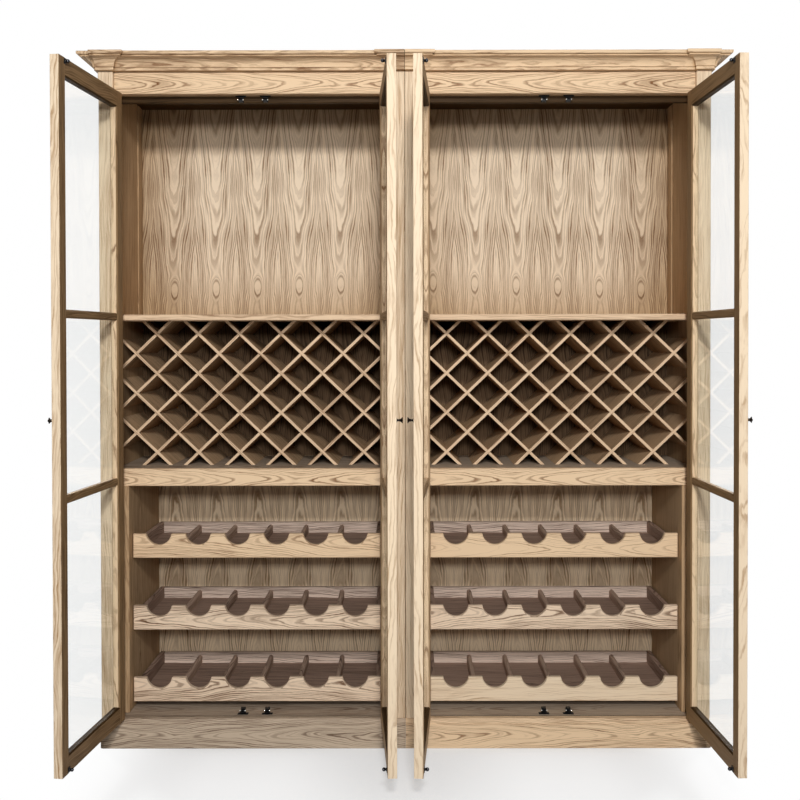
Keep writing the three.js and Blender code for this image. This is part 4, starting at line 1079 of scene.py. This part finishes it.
class CABINET_OT_doors(bpy.types.Operator):
    """Build the glazed doors"""

    bl_idname = "cabinet.doors"
    bl_label = "Doors"

    def bar(self, leaf, along, span, across, depth, bevelled, **special):
        """Lays a stile, rail or muntin, bevelled towards the glass at its low or high side or both."""
        front, back = depth
        low, high = across
        bevel, rub = settings("doors").bevel, 0.0008
        a, b = (bevel if side in bevelled else rub for side in ("low", "high"))
        outline = (
            (low, front + a), (low + a, front), (high - b, front), (high, front + b),
            (high, back - b), (high - b, back), (low + a, back), (low, back - a),
        )
        rings = [[(end, y, w) if along == "X" else (w, y, end) for w, y in outline] for end in span]
        leaf.lay(through_rings(rings), "XYZ".index(along), "limed_oak", **special)

    def execute(self, context):
        case, door, at = settings("case"), settings("doors"), levels()
        start = door.gap / 2
        end = start + leaf_width()
        depth = (door.pin_proud, door.pin_proud + door.thickness)
        low, high = leaf_span()
        inner = (start + door.stile, end - door.stile)
        # the rails are coped over the stiles' bevels
        coped = (inner[0] - door.bevel, inner[1] + door.bevel)
        thin = (door.thickness - door.muntin_thickness) / 2
        muntins = (at["rail_top"] - case.rail_height / 2, (at["shelf_low"] + at["shelf_high"]) / 2)
        for unit in UNITS:
            # painted shade: the leaves' backs are darker than their fronts, the outer leaves' darkest
            for side, rear in zip(ENDS, ("oak_lining", "oiled_oak")):
                leaf = Bench(f"{unit}_{side}_leaf", leaf_matrix(unit, side))
                bar = partial(self.bar, leaf, back=rear)
                bar("Z", (low, high), (start, inner[0]), depth, ("high",))
                bar("Z", (low, high), (inner[1], end), depth, ("low",), end="planed_oak")
                # painted shade: the rails' edges at the glass are near black, standing for the shade there
                bar("X", coped, (low, low + door.rail), depth, ("high",), up="smoked_oak")
                bar("X", coped, (high - door.rail, high), depth, ("low",), down="smoked_oak")
                for middle in muntins:
                    across = (middle - door.muntin / 2, middle + door.muntin / 2)
                    bar("X", inner, across, (depth[0] + thin, depth[1] - thin), ("low", "high"))
                body = f"{unit}_{side}_door"
                leaf.done(body, "pale_oak", f"{body}_frame")
                glass = frame["nodes"][f"{body}_glass"]
                glass.data.materials.clear()
                glass.data.materials.append(finish("float_glass"))
        return {"FINISHED"}


class CABINET_OT_hardware(bpy.types.Operator):
    """Build the hinges, knobs and ball catches"""

    bl_idname = "cabinet.hardware"
    bl_label = "Hinges, knobs and catches"

    def execute(self, context):
        for unit in UNITS:
            self.clips(unit)
            for side in ENDS:
                self.fixed_hinges(unit, side)
                self.door_metal(unit, side)
                self.knob(unit, side)
        return {"FINISHED"}

    def barrel(self, piece, low, high, radius):
        rub = 0.0005
        profile = ((radius - rub, low), (radius, low + rub), (radius, high - rub), (radius - rub, high))
        piece.lay(turned(profile, 20), 2, "dark_bronze", smooth=True)

    def fixed_hinges(self, unit, side):
        """The case's knuckles and leaves of a door's hinges, with the pins' end caps."""
        door = settings("doors")
        hinges = Bench(f"{unit}_{side}_case_hinges", pin_matrix(unit, side))
        near, far = door.knuckle_height / 2, door.knuckle_height * 1.5
        # a hinge leaf is let in, so half its thickness shows
        jamb, half_sheet = -door.gap / 2, 0.0002
        across, depth = (jamb - half_sheet, jamb + half_sheet), (0, door.pin_proud + door.leaf_depth)
        for level in hinge_levels():
            for way in (-1, 1):
                ends = sorted((level + way * near, level + way * far))
                self.barrel(hinges, *ends, door.knuckle_radius)
                tip = level + way * far
                self.barrel(hinges, *sorted((tip, tip + way * door.cap_height)), door.cap_radius)
                hinges.board(across, depth, ends, "Z", "dark_bronze", ease=0.0001)
        hinges.done("case", "dark_metal")

    def door_metal(self, unit, side):
        """The doors' knuckles and leaves of the hinges, and the ball strikes at a door's top and bottom."""
        case, door = settings("case"), settings("doors")
        body = f"{unit}_{side}_door"
        metal = Bench(f"{body}_metal", leaf_matrix(unit, side))
        half = door.knuckle_height / 2 - case.gap
        edge, depth = door.gap / 2, (0, door.pin_proud + door.leaf_depth)
        for level in hinge_levels():
            ends = (level - half, level + half)
            self.barrel(metal, *ends, door.knuckle_radius)
            metal.board((edge - 0.0004, edge + 0.0001), depth, ends, "Z", "dark_bronze", ease=0.0001)
        low, high = leaf_span()
        x = case.unit_width / 2 - door.catch_offset - case.pilaster_width - edge
        back = door.pin_proud + door.thickness
        # each strike: a plate 13 mm wide and 15 mm high, a stem with a collar, and its ball
        wide, tall, ball_stand = 0.0065, 0.0075, door.ball_stand
        stem = turned(((0.0046, 0.001), (0.0044, 0.0026), (0.0034, 0.0036), (0.0034, ball_stand)), 16)
        for z in (low + door.ball_edge, high - door.ball_edge):
            plate = (back - 0.0005, back + 0.0015)
            metal.board((x - wide, x + wide), plate, (z - tall, z + tall), "X", "black_steel", ease=0.0004)
            stand = Matrix.Translation((x, back, z)) @ Matrix.Rotation(-math.pi / 2, 4, "X")
            metal.lay(stem, 2, "black_steel", matrix=stand, smooth=True)
            head = stand @ Matrix.Translation((0, 0, ball_stand))
            metal.lay(ball(door.ball_radius, 12), 2, "black_nickel", matrix=head, smooth=True)
        metal.done(body, "dark_metal")

    def knob(self, unit, side):
        """A small cast knob: a round rose, a waisted neck and a flared head with four points."""
        door = settings("doors")
        body = f"{unit}_{side}_door"
        x = door.gap / 2 + leaf_width() - door.stile / 2
        out = Matrix.Translation((x, door.pin_proud - settings("case").gap, door.knob_level))
        out = out @ Matrix.Rotation(math.pi / 2, 4, "X")
        knob = Bench(f"{body}_fluted_knob", leaf_matrix(unit, side))
        # radius and distance from the door's face, from the rose outwards
        rose, neck, radius, tip = door.knob_rose, door.knob_neck, door.knob_radius, door.knob_length
        foot = (
            (rose - 0.0006, 0), (rose, 0.0006), (rose - 0.0004, 0.0012), (neck + 0.0012, 0.0022),
            (neck, 0.0034), (neck - 0.0003, 0.0055), (neck, 0.0078), (neck + 0.0012, 0.0092),
        )
        knob.lay(turned(foot, 28), 2, "dark_bronze", matrix=out, smooth=True)
        head = (
            (neck - 0.0002, 0.0085), (radius * 0.42, 0.0105), (radius * 0.55, 0.0125),
            (radius * 0.76, 0.0143), (radius * 0.97, 0.0157), (radius, 0.0164), (radius * 0.95, 0.017),
            (radius * 0.5, tip - 0.0002), (0.0002, tip),
        )
        knob.lay(turned(head, 96, lobes=4, depth=0.36), 2, "dark_bronze", matrix=out, smooth=True)
        knob.done(body, "dark_metal", f"{body}_knob")

    def clips(self, unit):
        """Two-pronged spring clips on the floor and under the header, nickel balls on the lower prong."""
        case, door = settings("case"), settings("doors")
        top = levels()["opening_top"]
        clips = Bench(f"{unit}_spring_clips", unit_matrix(unit))
        front, back, sheet = 0.032, case.inner_front, 0.0012
        # from the clip's middle to its balls and to its screws
        to_ball, to_screw, ball_radius = 0.008, 0.013, 0.0026
        level = door.height_gap + door.ball_edge
        reach = door.ball_radius + 0.0004
        low, high = level - reach, level + reach
        plates = (
            # foot, web, far prong and near prong: half width, depth and height
            (0.0165, (front, back), (0, sheet)),
            (0.0075, (back - sheet, back), (0, high + sheet)),
            (0.006, (front, back), (high, high + sheet)),
            (0.0085, (front, back), (low - sheet, low)),
        )
        screw = turned(((0.0026, 0), (0.0022, 0.0007), (0.0006, 0.001)), 14)
        for base, way in ((case.plinth_height, 1), (top, -1)):
            for sign in (-1, 1):
                place = Matrix.Translation((case.unit_width / 2 + sign * door.catch_offset, 0, base))
                place = place @ Matrix.Diagonal((1, 1, way, 1))
                for half, y, z in plates:
                    clips.board((-half, half), y, z, "X", "black_steel", matrix=place, ease=0.0003)
                for x in (-to_ball, to_ball):
                    sprung = place @ Matrix.Translation((x, front + 0.0005, level))
                    clips.lay(ball(ball_radius, 12), 2, "polished_nickel", matrix=sprung, smooth=True)
                for x in (-to_screw, to_screw):
                    fixed = place @ Matrix.Translation((x, (front + back) / 2, sheet))
                    clips.lay(screw, 2, "black_steel", matrix=fixed, smooth=True)
        clips.done("case", "dark_metal")


# The photograph's shadow below the header steps down twice, so two lamps stood over the camera. Two more
# stand behind the cabinet and light its sides and back. Each: place, what it points at, size and watts.
LAMPS = {
    "upper_softbox": ((0.15, -4.2, 2.85), (0, 0, 1.3), (0.45, 0.4), 116),
    "lower_softbox": ((0.10, -4.2, 1.9), (0, 0, 1.3), (0.45, 0.35), 50),
    "left_rear_softbox": ((-3.2, 3.0, 2.6), (0, 0, 1.1), (0.8, 0.8), 75),
    "right_rear_softbox": ((3.2, 3.0, 2.6), (0, 0, 1.1), (0.8, 0.8), 75),
}


class CABINET_OT_stage(bpy.types.Operator):
    """Build the floor, the lamps and the camera"""

    bl_idname = "cabinet.stage"
    bl_label = "Stage"

    def execute(self, context):
        self.floor()
        for name, (place, target, size, watts) in LAMPS.items():
            light = bpy.data.lights.new(name, "AREA")
            light.shape, light.size, light.size_y, light.energy = "RECTANGLE", *size, watts
            lamp = bpy.data.objects.new(name, light)
            lamp.location = place
            lamp.rotation_euler = (Vector(target) - Vector(place)).to_track_quat("-Z", "Y").to_euler()
            context.collection.objects.link(lamp)
        self.world()
        self.camera()
        context.scene.view_settings.view_transform = "Standard"
        return {"FINISHED"}

    def seen(self, add, rays):
        """1 where the camera sees the surroundings, by itself, in a reflection or through glass."""
        seen = rays["Is Camera Ray"]
        for name in ("Is Glossy Ray", "Is Transmission Ray"):
            seen = add("Math MAXIMUM", {0: seen, 1: rays[name]})
        return seen

    def floor(self):
        """A pale floor that reads white to the camera away from the cabinet and keeps its shadow; beside the
        plinth the shadow is partly painted.
        """
        material, add = blank("pale_floor")
        matt = add("BsdfDiffuse", {0: (*settings("colours").backdrop, 1)})
        # painted shadow: the floor's glow dims beside the plinth with ambient occlusion, standing for light
        # from all round reaching it less there
        sky = add("AmbientOcclusion", {"Distance": 0.34}, samples=8).outputs["AO"]
        sky = add("MapRange", {0: sky, 1: 0.45, 2: 1, 3: 0.4, 4: 0.63})
        glow = add("Emission", {0: (1, 1, 1, 1), 1: sky})
        near = add("AddShader", {0: matt, 1: glow})
        # from a box of 1.24 by 0.9 m under the cabinet it runs into the white backdrop within 360 mm
        white = add("Emission", {0: (1, 1, 1, 1), 1: 1})
        where = add("NewGeometry", {}).outputs["Position"]
        where = add("VectorMath ABSOLUTE", {0: where})
        where = add("VectorMath SUBTRACT", {0: where, 1: (0.62, 0.45, 0)})
        where = add("VectorMath MAXIMUM", {0: where, 1: (0, 0, 0)})
        away = add("VectorMath LENGTH", {0: where}).outputs["Value"]
        away = add("MapRange", {0: away, 1: 0, 2: 0.36}, interpolation_type="SMOOTHSTEP")
        lit = add("MixShader", {0: away, 1: near, 2: white})
        seen = self.seen(add, add("LightPath", {}).outputs)
        add("OutputMaterial", {0: add("MixShader", {0: seen, 1: matt, 2: lit})})
        mesh = bpy.data.meshes.new("studio_floor")
        reach = (-30, 30)
        mesh.from_pydata(level_ring(reach, reach, 0), [], [(0, 1, 2, 3)])
        mesh.materials.append(material)
        floor = bpy.data.objects.new("studio_floor", mesh)
        bpy.context.collection.objects.link(floor)

    def world(self):
        world = bpy.data.worlds.new("studio")
        bpy.context.scene.world = world
        world.use_nodes = True
        world.node_tree.nodes.clear()
        add = partial(add_node, world.node_tree)
        seen = self.seen(add, add("LightPath", {}).outputs)
        room = add("Background", {0: (1, 1, 1, 1), 1: 0.08})
        white = add("Background", {0: (1, 1, 1, 1), 1: 1})
        add("OutputWorld", {0: add("MixShader", {0: seen, 1: room, 2: white})})

    def camera(self):
        """The photograph's viewpoint: 3 m in front of the doors at standing height."""
        data = bpy.data.cameras.new("front_camera")
        data.sensor_width, data.lens, data.clip_end = 36, 44.57, 100
        data.shift_x, data.shift_y = -0.0057, -0.0587
        camera = bpy.data.objects.new("front_camera", data)
        camera.location = (0.0018, -3.0408 + unit_matrix("right").translation.y, 1.2517)
        pitch, yaw, roll = (math.radians(a) for a in (-0.691, -0.064, -0.089))
        turn = Matrix.Rotation(-yaw, 4, "Z") @ Matrix.Rotation(math.pi / 2 + pitch, 4, "X")
        camera.rotation_euler = (turn @ Matrix.Rotation(roll, 4, "Z")).to_euler()
        bpy.context.collection.objects.link(camera)
        bpy.context.scene.camera = camera


GROUPS = {
    "case": CabinetCaseSizes,
    "cornice": CabinetCorniceSizes,
    "doors": CabinetDoorSizes,
    "rack": CabinetRackSizes,
    "trays": CabinetTraySizes,
    "colours": CabinetColours,
}

OPERATORS = (
    CABINET_OT_case,
    CABINET_OT_sides,
    CABINET_OT_cornice,
    CABINET_OT_racks,
    CABINET_OT_trays,
    CABINET_OT_doors,
    CABINET_OT_hardware,
    CABINET_OT_stage,
)


class CABINET_PT_sidebar(bpy.types.Panel):
    """Lists the cabinet's pieces and sizes in the sidebar"""

    bl_idname = "CABINET_PT_sidebar"
    bl_label = "Wine cabinet"
    bl_space_type = "VIEW_3D"
    bl_region_type = "UI"
    bl_category = "Wine cabinet"

    def draw(self, context):
        for operator in OPERATORS:
            self.layout.operator(operator.bl_idname)
        for name, group in GROUPS.items():
            box = self.layout.box()
            box.label(text=name.capitalize())
            for key in group.__annotations__:
                box.prop(settings(name), key)


def register():
    for cls in (*GROUPS.values(), *OPERATORS, CABINET_PT_sidebar):
        bpy.utils.register_class(cls)
    for name, group in GROUPS.items():
        setattr(bpy.types.Scene, "cabinet_" + name, bpy.props.PointerProperty(type=group))


def unregister():
    for name in GROUPS:
        delattr(bpy.types.Scene, "cabinet_" + name)
    for cls in reversed((*GROUPS.values(), *OPERATORS, CABINET_PT_sidebar)):
        bpy.utils.unregister_class(cls)


def main():
    register()
    bpy.ops.cabinet.case()
    bpy.ops.cabinet.sides()
    bpy.ops.cabinet.cornice()
    bpy.ops.cabinet.racks()
    bpy.ops.cabinet.trays()
    bpy.ops.cabinet.doors()
    bpy.ops.cabinet.hardware()
    bpy.ops.cabinet.stage()


if __name__ == "__main__":
    main()
